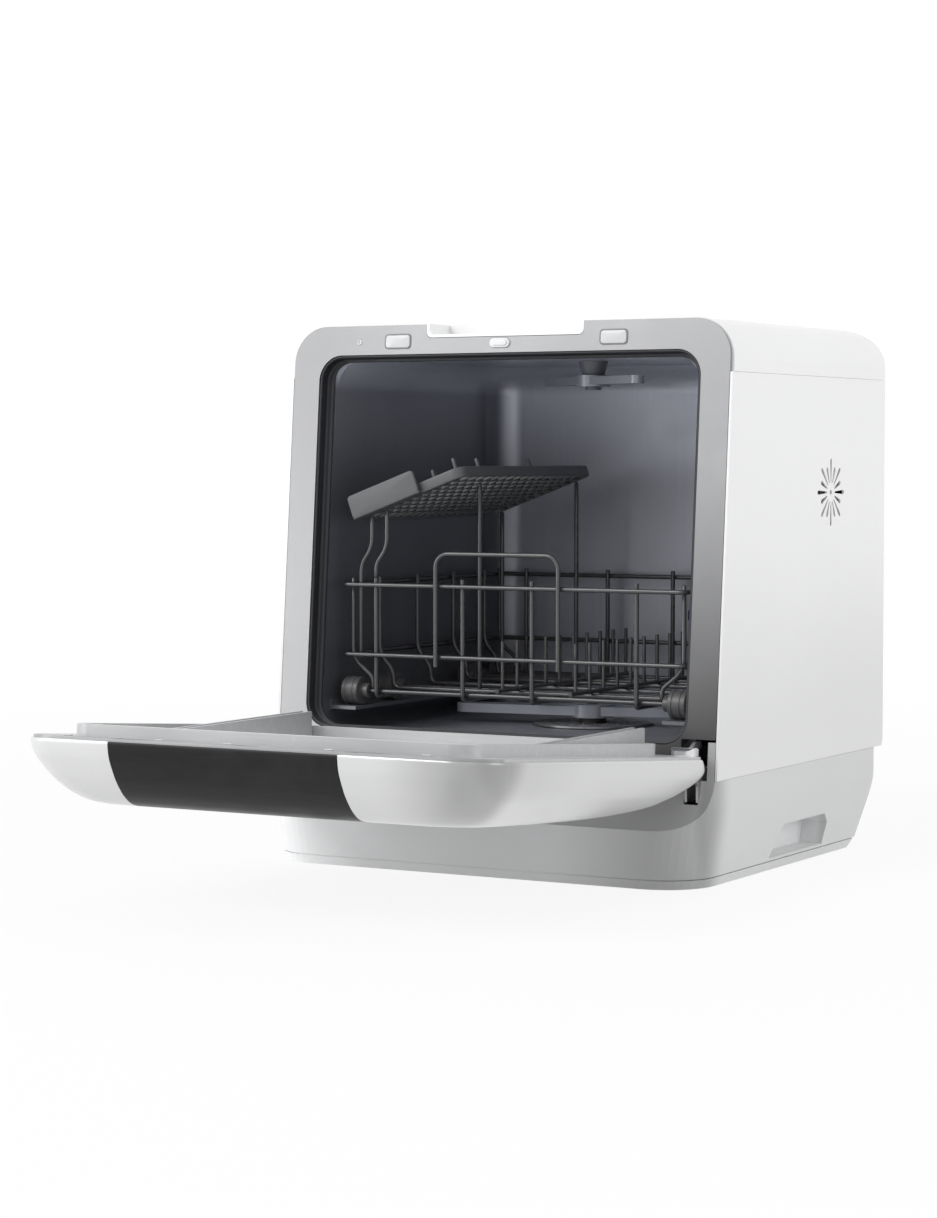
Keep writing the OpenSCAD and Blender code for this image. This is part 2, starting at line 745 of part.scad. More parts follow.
module cord_gland() color("black") translate([half_w - gland_in, 0, rear_port_z]) difference() {
    union() {
        translate([0, rear_y - 9, 0]) rotate([-90, 0, 0]) cylinder(d = 20, h = 4 - seat_gap);
        translate([0, rear_y - 6, 0]) rotate([-90, 0, 0]) cylinder(d = 13.8, h = 8);
        translate([0, rear_y - 3 + seat_gap, 0]) rotate([-90, 0, 0]) cylinder(d = 18, h = 6);
    }
    translate([0, rear_y - 20, 0]) rotate([-90, 0, 0]) cylinder(d = gland_d, h = 40);
}

// Flat water duct up the tub's back and over its ceiling to the upper spray arm.
module feed_duct() color([0.8, 0.8, 0.8]) {
    difference() {
        union() {
            translate([-24, tub_y1 + tub_wall + seat_gap, 90]) cube([48, 9, tub_top - 76]);
            translate([-24, spray_y - 20, tub_top + tub_wall + seat_gap])
                cube([48, tub_y1 - spray_y + 31.7, 12]);
            translate([0, spray_y, arm_hi_z - 4]) cylinder(d = spray_tube_d, h = tub_top - arm_hi_z + 6);
            translate([0, spray_y, arm_hi_z - 4.4]) cylinder(d = 14, h = 2.4);
            translate([0, spray_y, arm_hi_z + 9]) cylinder(d1 = 20, d2 = 26, h = tub_top - arm_hi_z - 9.2);
        }
        translate([0, spray_y, arm_hi_z - 10]) cylinder(d = 5, h = 40);
    }
}

module power_board() color("darkgreen") translate([46, 62, pan_top]) {
    translate([0, 0, 8]) cube([90, 60, 1.6]);
    for (x = [4, 86], y = [4, 56]) translate([x, y, 0]) cylinder(d = 5, h = 8.5);
    translate([10, 12, 9]) cube([24, 20, 22]);
    translate([44, 14, 9]) cube([16, 16, 14]);
}

// Ring housing of the drying fan behind the sunburst vent.
module fan_housing() color("dimgray") {
    x0 = tub_half + tub_wall + 0.5;
    x1 = half_w - sheet - 0.5;
    translate([x0, vent_y, vent_z]) rotate([0, 90, 0]) difference() {
        cylinder(d = 78, h = x1 - x0);
        translate([0, 0, 4]) cylinder(d = 70, h = x1 - x0);
    }
    translate([x0 + 3, vent_y, vent_z]) rotate([0, 90, 0]) cylinder(d = fan_shaft_d, h = 20);
}

module fan_rotor() color("gray") {
    x0 = tub_half + tub_wall + 0.5;
    translate([x0 + 8, vent_y, vent_z]) rotate([0, 90, 0]) difference() {
        union() {
            cylinder(d = 20, h = 14);
            for (i = [0 : 6]) rotate([0, 0, i * 360 / 7]) translate([8, 0, 7])
                rotate([35, 0, 0]) translate([0, -1, -6]) cube([22, 2, 12]);
        }
        translate([0, 0, -1]) cylinder(d = fan_shaft_d + 2 * fan_clear, h = 20);
        difference() {
            translate([0, 0, -5]) cylinder(r = 60, h = 30);
            translate([0, 0, -6]) cylinder(r = 31.5, h = 32);
        }
    }
}

// ---------------------------------------------------------------- hinge and catch

// Cheeks on each side of the hinge arm, on a leg that stands on the pan.
module hinge_brackets() color("silver") both_sides() translate([arm_x, hinge[0], hinge[1]])
    difference() {
        union() {
            for (x = [-cheek_x - cheek_t, cheek_x]) along_x(x, x + cheek_t) {
                circle(8.5);
                polygon([[-4, -2], [-4, -7], [4, -15], [4, -28], [34, -28], [34, -2]]);
            }
            translate([-cheek_x - cheek_t, 32, pan_top - hinge[1]])
                cube([2 * (cheek_x + cheek_t), 2, hinge[1] - 2 - pan_top]);
            translate([-cheek_x - cheek_t - 14, 32, pan_top - hinge[1]])
                cube([14 + cheek_x, 16, 2]);
        }
        translate([-20, 0, 0]) rotate([0, 90, 0]) cylinder(d = pin_d, h = 40);
    }

module hinge_pins() color("gray") both_sides()
    translate([arm_x - cheek_x - cheek_t - 1, hinge[0], hinge[1]]) rotate([0, 90, 0])
        cylinder(d = pin_d, h = 2 * (cheek_x + cheek_t + 1));

module hinge_springs() color("gray") both_sides()
    translate([arm_x - 4, hinge[0], hinge[1]]) rotate([0, 90, 0])
        for (i = [0 : 1]) translate([0, 0, i * 1.1 + 0.55])
            rotate_extrude() translate([pin_d / 2 + 0.8, 0]) circle(d = 1.08);

module door_buffers() color("whitesmoke") for (x = buffer_xs) {
    frame_slab(0.01, 0.9) round_rect(x - 13, x + 13, buffer_s - 6.5, buffer_s + 6.5, 3, 3);
    frame_slab(-frame_t - 2, 0.02) translate([x, buffer_s]) square([13.6, 4.6], center = true);
}

// Oval outline of the catch on the frame.
module catch_outline(grow) {
    translate([catch_x, catch_s])
        round_rect(-9.5 - grow, 9.5 + grow, -4 - grow, 4 + grow, 3.9 + grow, 3.9 + grow);
}

// Sprung catch that enters a pocket in the door.
module door_catch() color("white") {
    frame_slab(-8, 1.6) catch_outline(0);
    frame_slab(1.6 - eps, 2.5) catch_outline(-1);
}

// Cup behind the frame that guides the plunger and holds its spring.
module catch_cup() color("gray") {
    frame_slab(-frame_t - 10, -frame_t - 9) catch_outline(1);
    frame_slab(-frame_t - 9 - eps, -frame_t - seat_gap) difference() {
        catch_outline(1);
        catch_outline(catch_clear);
    }
}

module sensor_window() color("gray") on_frame()
    translate([sensor_x, buffer_s, -frame_t - 1]) cylinder(d = 4.8, h = frame_t + 1.6);

// ---------------------------------------------------------------- spray arms

// Flat arm with tapered blades and jets on one face.
module spray_blades(reach, root, tip, h) {
    linear_extrude(h) for (a = [0, 180]) rotate([0, 0, a]) {
        polygon([[0, -root / 2], [reach - tip / 2, -tip / 2], [reach - tip / 2, tip / 2], [0, root / 2]]);
        translate([reach - tip / 2, 0]) circle(d = tip);
    }
}

module upper_spray_arm() color("silver") translate([0, spray_y, arm_hi_z]) difference() {
    union() {
        rotate([0, 0, arm_park]) spray_blades(74, 24, 13, 7);
        translate([0, 0, -1.6]) cylinder(d = 30, h = 10);
    }
    translate([0, 0, -5]) cylinder(d = spray_tube_d + 2 * spray_clear, h = 20);
    for (r = [24, 36, 48, 60]) rotate([0, 0, arm_park]) for (s = [-1, 1])
        translate([s * r, 0, -1]) cylinder(d = 2.4, h = 4);
}

module lower_spray_arm() color("silver") translate([0, spray_y, arm_lo_z]) difference() {
    union() {
        rotate([0, 0, 12]) spray_blades(126, 34, 18, 8);
        translate([0, 0, -1.8]) cylinder(d = 40, h = 11.4);
    }
    translate([0, 0, -5]) cylinder(d = spray_tube_d + 2 * spray_clear, h = 20);
    for (r = [30, 48, 66, 84, 102, 116]) rotate([0, 0, 12]) for (s = [-1, 1])
        translate([s * r, 0, 4]) cylinder(d = 2.6, h = 6);
}

// ---------------------------------------------------------------- door

// Corners of one slice of the door's form: x is its half width.
module door_slice(x, low, high, r_low) {
    for (side = [-1, 1]) {
        translate([side * (x - r_low), low + r_low]) circle(r_low, $fn = 40);
        translate([side * (x - corner_r), high - corner_r]) circle(corner_r, $fn = 40);
    }
}

// Convex outer form of the door, less an inset on its sides and outside.
module door_form(inset) {
    hull() for (slice = door_slices) {
        e = slice[1] + inset;
        n = slice[0] == shell_n ? shell_n - (inset > 0 ? 1 : 0) : slice[0] - inset;
        translate([0, 0, n]) linear_extrude(slice[0] == shell_n ? 1 : 0.2)
            door_slice(door_w / 2 - e, slice[2] + 2 * inset, door_top - e, min(12 + slice[1], 28));
    }
}

module panel_region(grow) {
    translate([panel_x0 - grow, door_top - panel_l - grow, -50])
        cube([panel_x1 - panel_x0 + 2 * grow, panel_l + 40, 150]);
}

// Skin of the door's outside, hollow behind.
module door_skin() {
    difference() {
        door_form(0);
        door_form(shell_t);
    }
}

module door_shell() color("whitesmoke") opened() on_frame() difference() {
    door_skin();
    panel_region(0);
    arm_pocket();
}

// Room for the hinge arms in the shell's lower end.
module arm_pocket() {
    for (x = [-arm_x, arm_x]) translate([x - 7.5, hinge_s - 20, -20]) cube([15, 29, 44]);
}

// Dark panel that fills the gap in the door's top edge.
module control_panel() color([0.2, 0.2, 0.21]) opened() on_frame() intersection() {
    door_skin();
    panel_region(-seat_gap);
}

module lip_outline(grow) {
    round_rect(-lip_w / 2 - grow, lip_w / 2 + grow, lip_s0 - grow, lip_s1 + grow,
        lip_r + grow, lip_r + grow);
}

// Wedge that the wheels roll on: level when the door is open.
module track_rib(x) {
    low = on_lean(lip_s0 + lip_t + 1, 0)[1];
    high = hinge[1] + travel - 12;
    base_low = lean_y(low, basin_n - 1);
    base_high = lean_y(high + 14, basin_n - 1);
    along_x(x, x + 3) polygon([
        [track_y, low], [track_y, high], [base_high, high + 14], [base_low, low]
    ]);
}

module door_liner() color("silver") opened() difference() {
    union() {
        frame_slab(rim_gap, shell_n) difference() {
            round_rect(-door_w / 2 + 1.5, door_w / 2 - 1.5, hinge_s + 1, door_top - 1.5,
                12, corner_r);
            lip_outline(-lip_t);
        }
        frame_slab(rim_gap - lip_h, basin_n + 2) difference() {
            lip_outline(0);
            lip_outline(-lip_t);
        }
        frame_slab(basin_n, basin_n + 2) lip_outline(-eps);
        both_sides() track_rib(wheel_x0 + 2);
        both_sides() track_rib(wheel_x0 + wheel_w - 5);
    }
    frame_slab(rim_gap - lip_h - 1, 60) {
        for (x = [-arm_x, arm_x]) translate([x - 7.5, hinge_s - 36.5]) square([15, 45.5]);
        for (x = buffer_xs) translate([x, buffer_s]) square([30, 15], center = true);
        catch_outline(1.5);
        translate([disp_x - disp_w / 2, disp_s - disp_l / 2]) square([disp_w, disp_l]);
    }
}

// Steel arm that turns on the hinge pin and is screwed inside the door.
module hinge_arms() color("gray") opened() for (x = [-arm_x, arm_x])
    translate([x - arm_t / 2, 0, 0]) difference() {
        union() {
            translate([0, hinge[0], hinge[1]]) rotate([0, 90, 0]) cylinder(d = 13, h = arm_t);
            along_x(0, arm_t) polygon([
                [hinge[0] + 6.3, hinge[1]], [hinge[0] + 5, hinge[1] + 12],
                on_lean(hinge_s + 15.5, 6), on_lean(hinge_s + 63.5, 8),
                on_lean(hinge_s + 63.5, 20), on_lean(hinge_s + 15.5, 18),
                [hinge[0] - 6.3, hinge[1]]
            ]);
            along_x(0, arm_t) translate(hinge) polygon([
                [5.6, 3], [16, -3], [19.5, -9], [20.5, -20], [15.5, -20], [14, -11], [3, -6]
            ]);
        }
        translate([-1, hinge[0], hinge[1]]) rotate([0, 90, 0])
            cylinder(d = pin_d + 2 * pin_clear, h = arm_t + 2);
    }

// Bright domed cover over each hinge.
module hinge_covers() color("silver") opened() on_frame() for (x = [-arm_x, arm_x])
    translate([x, hinge_s + 10, 0]) intersection() {
        translate([0, 0, -8]) linear_extrude(8 + rim_gap) round_rect(-10, 10, -8.5, 8.5, 4, 6);
        translate([-11, 0, 8]) rotate([0, 90, 0]) cylinder(r = 14, h = 22);
    }

// Detergent cup and rinse-aid tank let into the liner.
module dispenser() color("whitesmoke") opened() on_frame() translate([disp_x, disp_s, 0]) difference() {
    union() {
        translate([0, 0, disp_n]) linear_extrude(23)
            square([disp_w - 2 * seat_gap, disp_l - 2 * seat_gap], center = true);
        translate([0, 0, basin_n + 2 + seat_gap]) linear_extrude(3)
            square([disp_w + 10, disp_l + 10], center = true);
    }
    translate([lid_x - disp_x, 0, disp_n - 10]) {
        linear_extrude(11) round_rect(-28, 28, -30, 32, 3, 3);
        translate([0, -4, 0]) linear_extrude(29) round_rect(-24, 24, -24, 24, 6, 6);
    }
    translate([cap_x - disp_x, 0, disp_n - 1]) cylinder(d = cap_d + 2 * cap_clear, h = 12);
}

// Lid of the detergent cup, with a dent for the finger.
module dispenser_lid() color("gray") opened() on_frame() translate([lid_x, disp_s, disp_n]) difference() {
    translate([0, 0, -2.2]) linear_extrude(3) round_rect(-27, 27, -29, 29, 3, 3);
    translate([0, -20, -3.2]) linear_extrude(2) round_rect(-12, 12, -4, 4, 3, 3);
}

module rinse_cap() color("gray") opened() on_frame() translate([cap_x, disp_s, disp_n]) {
    cylinder(d = cap_d, h = 9);
    translate([0, 0, -1.6]) cylinder(d = cap_d + 4, h = 1.4);
    translate([0, 0, -seat_gap]) cylinder(d = cap_d, h = 1);
    translate([-9, -2, -4.6]) cube([18, 4, 3.2]);
}

module panel_board() color("darkgreen") opened() on_frame() translate([(panel_x0 + panel_x1) / 2, 0, 0]) {
    w = panel_x1 - panel_x0 - 42;
    translate([-w / 2, door_top - 44, 26]) cube([w, 30, 1.6]);
    for (x = [-w / 2 + 20, w / 2 - 20]) translate([x, door_top - 18, shell_n + seat_gap])
        cylinder(d = 6, h = 22);
}

// ---------------------------------------------------------------- basket

module upper_rail() color("dimgray") wire_loop(rail_x, rail_y0, rail_y1, rail_hi, wire_d);

module lower_rail() color("dimgray") wire_loop(rail_x, rail_y0, rail_y1, rail_lo, wire_d);

// Wires that run down the front, along the floor and up the rear.
module long_wires() color("dimgray") for (x = long_xs) {
    y0 = rail_y0 + wire_d;
    y1 = rail_y1 - wire_d;
    wire([[x, y0, tip_z], [x, y0, floor_z], [x, y1, floor_z], [x, y1, tip_z]], wire_d);
}

// Wires that run down one side, kink inwards, cross the floor and climb the other side.
module cross_wires() color("dimgray") for (y = cross_ys) {
    x = rail_x - wire_d;
    half = [[x, y, tip_z], [x, y, rail_lo - 3], [x - 14, y, rail_lo - 17], [x - 14, y, axle_z]];
    wire(concat(half, [for (i = [3 : -1 : 0]) [-half[i][0], y, half[i][2]]]), 5);
}

module axle_rods() color("dimgray") for (y = wheel_ys)
    translate([-wheel_x0 - wheel_w + 3, y, axle_z]) rotate([0, 90, 0])
        cylinder(d = wire_d, h = 2 * (wheel_x0 + wheel_w - 3));

// Short rod that the clips grip outside the side wires.
module shelf_rod() color("dimgray")
    translate([rail_x + 3, clip_ys[0] - 13, shelf_z - 4]) rotate([-90, 0, 0])
        cylinder(d = wire_d, h = clip_ys[1] - clip_ys[0] + 44);

module basket_handle() color("dimgray") {
    y = rail_y0 - wire_d;
    x = -10;
    wire([
        [x - handle_w / 2, y, rail_lo - 8], [x - handle_w / 2, y, handle_top],
        [x + handle_w / 2, y, handle_top], [x + handle_w / 2, y, rail_lo - 8]
    ], 12);
}

// Underside of the cutlery tray at x.
function tray_under(x) = tray_z + (x - tray_x) * tan(tray_tilt);

// Kinked posts under the tray's front, its legs, and the wires that carry the axles' ends.
module basket_posts() color("dimgray") {
    for (post = [[tray_x + 2, rail_lo - wire_d], [long_xs[0], tip_z]]) {
        x = post[0];
        y = rail_y0 + wire_d;
        wire([[x + 11, y, tray_under(x + 11 - wire_d / 2) - 0.3], [x + 11, y, 267],
            [x, y, 253], [x, y, post[1]]], 5);
    }
    tray_leg(tray_x + 12, cross_ys[3] - wire_d);
    tray_leg(tray_x + 90, cross_ys[3] - wire_d);
    tray_leg(tray_x + 90, cross_ys[0] + wire_d);
    for (x = [-1, 1], y = [wheel_ys[0], wheel_ys[3]]) wire([
        [x * (rail_x - wire_d), y, tip_z], [x * (rail_x - wire_d), y, rail_lo - 4],
        [x * (rail_x - 24), y, axle_z + wire_d + 8], [x * (rail_x - 24), y, axle_z + wire_d / 2]
    ], 4);
}

// Straight wire from a cross wire to the cutlery tray.
module tray_leg(x, y) {
    translate([x, y, axle_z - 1]) cylinder(d = wire_d, h = tray_under(x - wire_d / 2) - 0.3 - axle_z + 1);
}

// Combs that hold the plates upright.
module plate_tines() color("dimgray") for (x = [-18, 52]) {
    z = axle_z + wire_d;
    translate([x, rail_y0 + 12, z]) rotate([-90, 0, 0]) cylinder(d = wire_d, h = basket_l - 24);
    for (i = [0 : 9]) translate([x, rail_y0 + 22 + i * (basket_l - 46) / 9, z]) cylinder(d = 3.2, h = 42);
}

// Everything of the tray is drawn level and then tilted about its low edge.
module on_tray() {
    translate([tray_x, rail_y0, tray_z]) rotate([0, -tray_tilt, 0]) children();
}

module cutlery_tray() color([0.32, 0.33, 0.34]) on_tray() {
    difference() {
        linear_extrude(9) polygon([
            [0, 0], [tray_w - 14, 0], [tray_w, 14], [tray_w, tray_l - 10], [tray_w - 10, tray_l],
            [10, tray_l], [0, tray_l - 10]
        ]);
        translate([2.5, 2.5, 2.5]) linear_extrude(20) polygon([
            [0, 0], [tray_w - 20, 0], [tray_w - 5, 14], [tray_w - 5, tray_l - 15],
            [tray_w - 15, tray_l - 5], [8, tray_l - 5], [0, tray_l - 13]
        ]);
        for (i = [0 : 9], j = [0 : 16])
            translate([8 + i * 10, 10 + j * 13.4, -1]) cube([7, 9.6, 5]);
    }
    translate([0, -6, 0]) cube([70, 3, 21]);
    translate([0, -6, 0]) cube([70, 6.5, 2.5]);
    for (pin = [[8, 0], [8, 3], [8, 10], [5, 1], [5, 7]])
        translate([16.5 + pin[0] * 10, 21.5 + pin[1] * 13.4, 2]) cylinder(d = 3.4, h = 20);
}

// Clips on two of the side wires, with the pins that the cup shelf hangs on.
module shelf_clips() color([0.13, 0.13, 0.35]) for (y = clip_ys) translate([0, y, 0]) difference() {
    union() {
        translate([rail_x - wire_d - 6, -6.5, shelf_z - 15]) cube([13, 13, 26]);
        translate([shelf_x - 4, -6.5, shelf_z - 4]) cube([rail_x - shelf_x - wire_d, 4, 8]);
        translate([shelf_x, -6.5, shelf_z]) rotate([-90, 0, 0]) cylinder(d = shelf_pin_d, h = 19);
    }
    translate([rail_x - wire_d, 0, shelf_z - 30]) cylinder(d = wire_d, h = 60);
    translate([rail_x + 3, -20, shelf_z - 4]) rotate([-90, 0, 0]) cylinder(d = wire_d, h = 40);
}

// Fold-up shelf: two legs joined by wires, hanging from the clips.
module cup_shelf() color([0.13, 0.13, 0.35]) {
    for (y = clip_ys) translate([shelf_x, y - 2, shelf_z]) difference() {
        union() {
            rotate([-90, 0, 0]) cylinder(d = 9.4, h = 14);
            translate([-3, 0, -leg_l]) cube([6, 14, leg_l]);
            translate([-9, 0, -leg_l]) cube([9, 14, 6]);
        }
        translate([0, -1, 0]) rotate([-90, 0, 0]) cylinder(d = shelf_pin_d + 2 * shelf_clear, h = 20);
    }
    for (z = [12, 30, leg_l - 3]) translate([shelf_x - 1, clip_ys[0] + 11, shelf_z - z])
        rotate([-90, 0, 0]) cylinder(d = 3.4, h = clip_ys[1] - clip_ys[0] - 12);
}

module wheel() difference() {
    union() {
        cylinder(r = wheel_r, h = wheel_w);
        translate([0, 0, -7]) cylinder(d = 13, h = 7 + eps);
    }
    translate([0, 0, -8]) cylinder(d = wire_d + 2 * axle_clear, h = wheel_w + 5.3);
    translate([0, 0, wheel_w - 1.2]) difference() {
        cylinder(r = wheel_r - 1.4, h = 3);
        translate([0, 0, -1]) cylinder(d = 9.5, h = 5);
        for (i = [0 : 3]) rotate([0, 0, i * 45 + 22.5]) cube([40, 2, 10], center = true);
    }
    for (i = [0 : 7]) rotate([0, 0, i * 45]) translate([7.4, 0, wheel_w - 4]) cylinder(d = 3.6, h = 5);
}

module wheel_pair(y) color("gray") for (side = [-1, 1])
    translate([side * wheel_x0, y, axle_z]) rotate([0, 90 * side, 0]) wheel();

module wheels_front_outer() wheel_pair(wheel_ys[0]);
module wheels_front_inner() wheel_pair(wheel_ys[1]);
module wheels_rear_inner() wheel_pair(wheel_ys[2]);
module wheels_rear_outer() wheel_pair(wheel_ys[3]);

// ---------------------------------------------------------------- the nodes

base_moulding();
base_pan();
feet();
side_panel_left();
side_panel_right();
top_cover();
rear_panel();
front_frame();
door_seal();
tub();
tub_rails();
sump();
filter_plate();
circulation_pump();
drain_pump();
heater();
air_breaker();
inlet_valve();
drain_outlet();
feed_duct();
power_board();
fan_housing();
fan_rotor();
hinge_brackets();
hinge_pins();
hinge_springs();
door_buffers();
door_catch();
catch_cup();
sensor_window();
cord_gland();
rear_screws();
upper_spray_arm();
lower_spray_arm();
door_shell();
control_panel();
door_liner();
hinge_arms();
hinge_covers();
dispenser();
dispenser_lid();
rinse_cap();
panel_board();
upper_rail();
lower_rail();
long_wires();
cross_wires();
axle_rods();
basket_handle();
basket_posts();
plate_tines();
cutlery_tray();
shelf_rod();
shelf_clips();
cup_shelf();
wheels_front_outer();
wheels_front_inner();
wheels_rear_inner();
wheels_rear_outer();
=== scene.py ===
import math

import bmesh
import bpy
import numpy as np
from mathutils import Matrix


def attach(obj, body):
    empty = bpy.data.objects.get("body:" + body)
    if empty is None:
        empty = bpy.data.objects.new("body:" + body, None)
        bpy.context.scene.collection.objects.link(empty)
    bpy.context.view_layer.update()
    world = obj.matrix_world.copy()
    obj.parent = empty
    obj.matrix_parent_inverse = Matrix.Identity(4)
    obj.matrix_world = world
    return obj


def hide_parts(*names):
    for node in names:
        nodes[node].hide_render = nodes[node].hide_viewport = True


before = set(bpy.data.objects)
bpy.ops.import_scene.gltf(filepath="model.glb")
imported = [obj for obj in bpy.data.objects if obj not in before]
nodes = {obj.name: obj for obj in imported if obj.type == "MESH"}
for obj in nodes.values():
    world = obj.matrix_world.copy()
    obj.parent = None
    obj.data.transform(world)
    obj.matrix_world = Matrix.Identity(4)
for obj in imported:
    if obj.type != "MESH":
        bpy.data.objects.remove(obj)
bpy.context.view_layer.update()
print("dishwasher frame loaded,", len(nodes), "nodes")

# Places are worked out in millimetres and put into the meshes in metres.
lean = math.radians(4.64)  # the front leans back by this much
faceY = -168.0  # foot of the leaning front plane
hingeY, hingeZ = -170.56, 97.025  # axis that the door turns on
frameTop = 457.7 / math.cos(lean)  # upper edge of the front, measured up the lean
quarter = math.pi / 2


def pointsOf(x, y, z):
    # one row of three for each place, from values or arrays that fit together
    return np.stack(np.broadcast_arrays(x, y, z), axis=-1).reshape(-1, 3)


def onFront(x, s, n):
    # x across, s up the leaning front, n out of it
    return pointsOf(x, faceY + s * math.sin(lean) - n * math.cos(lean), s * math.cos(lean) + n * math.sin(lean))


def onOpenDoor(x, s, n):
    # the same place on the door, turned down by 90 degrees about its hinge
    x, y, z = onFront(x, s, n).T
    return pointsOf(x, hingeY - (z - hingeZ), hingeZ + (y - hingeY))


def anglesOf(count):
    # evenly spaced angles once round a circle
    return np.linspace(0, 2 * math.pi, count, endpoint=False)


def squashed(values, power):
    # bends a sine or cosine towards a square wave, so that a circle becomes a soft rectangle
    return np.sign(values) * np.abs(values) ** power


def smoothThrough(points, count):
    # Catmull-Rom curve: each span is a cubic whose slopes are half the chord of its neighbours
    p = np.asarray(points, float)
    p = np.vstack([2 * p[0] - p[1], p, 2 * p[-1] - p[-2]])
    t = np.linspace(0, len(p) - 3 - 1e-9, count)
    i = t.astype(int)
    f = (t - i)[:, None]
    a, b, c, d = p[i], p[i + 1], p[i + 2], p[i + 3]
    return 0.5 * (2 * b + (c - a) * f + (2 * a - 5 * b + 4 * c - d) * f ** 2 + (3 * b - a - 3 * c + d) * f ** 3)


def roundedLoop(halfWidth, low, high, rLow, rHigh, perCorner=14):
    # rounded rectangle, one row per value of the arrays: four quarter circles joined by straight runs
    halfWidth, low, high, rLow, rHigh = [np.atleast_1d(np.asarray(v, float))[:, None] for v in
                                         (halfWidth, low, high, rLow, rHigh)]
    a = np.linspace(0, quarter, perCorner)[None, :]
    xs, ss = [], []
    for turn, sx, r, end in ((0, 1, rHigh, high), (1, -1, rHigh, high), (2, -1, rLow, low), (3, 1, rLow, low)):
        angle = a + turn * quarter
        inward = -r if end is high else r
        xs.append(sx * (halfWidth - r) + r * np.cos(angle))
        ss.append(end + inward + r * np.sin(angle))
    return np.hstack(xs), np.hstack(ss)


def gridFaces(rows, columns, wrapRows=False, wrapColumns=True):
    # quads between neighbouring rows and columns, closed round where asked
    r = np.arange(rows if wrapRows else rows - 1)[:, None]
    c = np.arange(columns if wrapColumns else columns - 1)[None, :]
    r2, c2 = (r + 1) % rows, (c + 1) % columns
    quads = (r * columns + c, r * columns + c2, r2 * columns + c2, r2 * columns + c)
    return np.stack(np.broadcast_arrays(*quads), -1).reshape(-1, 4)


def fanFaces(ring, tip, flip=False):
    # triangles from a ring of points to one point
    tri = np.stack([ring, np.roll(ring, -1), np.full_like(ring, tip)], axis=-1)
    return tri[:, ::-1] if flip else tri


def tippedGrid(grid, lowTip, highTip):
    # loops of points one after another, each end closed by a fan to its tip
    rows, columns = grid.shape[:2]
    first, count = np.arange(columns), rows * columns
    faces = [gridFaces(rows, columns), fanFaces(first, count, True), fanFaces(first + count - columns, count + 1)]
    return np.vstack([grid.reshape(-1, 3), [lowTip, highTip]]), faces


def addObject(name, data):
    thing = bpy.data.objects.new(name, data)
    bpy.context.scene.collection.objects.link(thing)
    return thing


def addMesh(name, points, faces):
    # faces is a list of groups, each with rows of point numbers
    mesh = bpy.data.meshes.new(name)
    mesh.from_pydata((points / 1000.0).tolist(), [], [list(map(int, f)) for part in faces for f in part])
    mesh.update()
    return addObject(name, mesh)


def makePiece(name, points, faces, body, finish, smoothAngle=35.0):
    piece = addMesh(name, points, faces)
    dressPiece(piece, finish, smoothAngle)
    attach(piece, body)
    return piece


def dressPiece(piece, finish, smoothAngle=35.0):
    mesh = piece.data
    mesh.materials.clear()
    mesh.materials.append(finishes[finish])
    mesh.polygons.foreach_set("use_smooth", np.ones(len(mesh.polygons), bool))
    mesh.set_sharp_from_angle(angle=math.radians(smoothAngle))
    mesh.update()


def turnOutward(piece):
    # makes every face of a closed piece point outwards
    work = bmesh.new()
    work.from_mesh(piece.data)
    bmesh.ops.remove_doubles(work, verts=work.verts, dist=1e-6)
    bmesh.ops.recalc_face_normals(work, faces=work.faces)
    work.to_mesh(piece.data)
    work.free()


def applyModifiers(piece):
    # leaves a plain mesh behind
    bpy.context.view_layer.update()
    mesh = bpy.data.meshes.new_from_object(piece.evaluated_get(bpy.context.evaluated_depsgraph_get()))
    piece.modifiers.clear()
    piece.data = mesh


def carve(piece, cutter, how):
    # keeps or removes what lies inside the cutter
    cut = piece.modifiers.new("carve", "BOOLEAN")
    cut.operation, cut.solver, cut.object = how, "EXACT", cutter
    applyModifiers(piece)
    bpy.data.objects.remove(cutter)


def makeClosed(name, shells, body, finish, slot, stands=True, smoothAngle=40.0):
    # several closed surfaces as one piece with its faces turned outwards; it stands for the node of its slot,
    # or lies on it
    points, faces, start = [], [], 0
    for shellPoints, shellFaces in shells:
        points.append(shellPoints)
        faces += [np.asarray(f) + start for f in shellFaces]
        start += len(shellPoints)
    piece = makePiece(name, np.vstack(points), faces, body, finish, smoothAngle)
    turnOutward(piece)
    dressPiece(piece, finish, smoothAngle)
    if stands:
        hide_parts(slot)


def carried(shells, place):
    # shells worked out flat, each point put where the place function says
    return [(place(*points.T), faces) for points, faces in shells]


def feed(tree, socket, value):
    # joins an output to the socket, or sets the socket's own value
    if isinstance(value, bpy.types.NodeSocket):
        tree.links.new(value, socket)
    elif socket.type == "RGBA":
        socket.default_value = (*value, 1.0)
    else:
        socket.default_value = value


def addNode(tree, kind, settings=None, **sockets):
    node = tree.nodes.new(kind)
    for key, value in (settings or {}).items():
        setattr(node, key, value)
    for key, value in sockets.items():
        feed(tree, node.inputs[key.replace("_", " ")], value)
    return node


def mathNode(tree, operation, *values, clamp=False):
    node = addNode(tree, "ShaderNodeMath", {"operation": operation, "use_clamp": clamp})
    for socket, value in zip(node.inputs, values):
        feed(tree, socket, value)
    return node.outputs[0]


def noiseOf(tree, vector, scale, detail=3.0, rough=0.55):
    sockets = dict(Vector=vector, Scale=scale, Detail=detail, Roughness=rough)
    return addNode(tree, "ShaderNodeTexNoise", **sockets).outputs["Fac"]


def rangeOf(tree, value, low, high, fromLow=0.0, fromHigh=1.0, kind="LINEAR"):
    sockets = dict(Value=value, From_Min=fromLow, From_Max=fromHigh, To_Min=low, To_Max=high)
    return addNode(tree, "ShaderNodeMapRange", {"interpolation_type": kind}, **sockets).outputs["Result"]


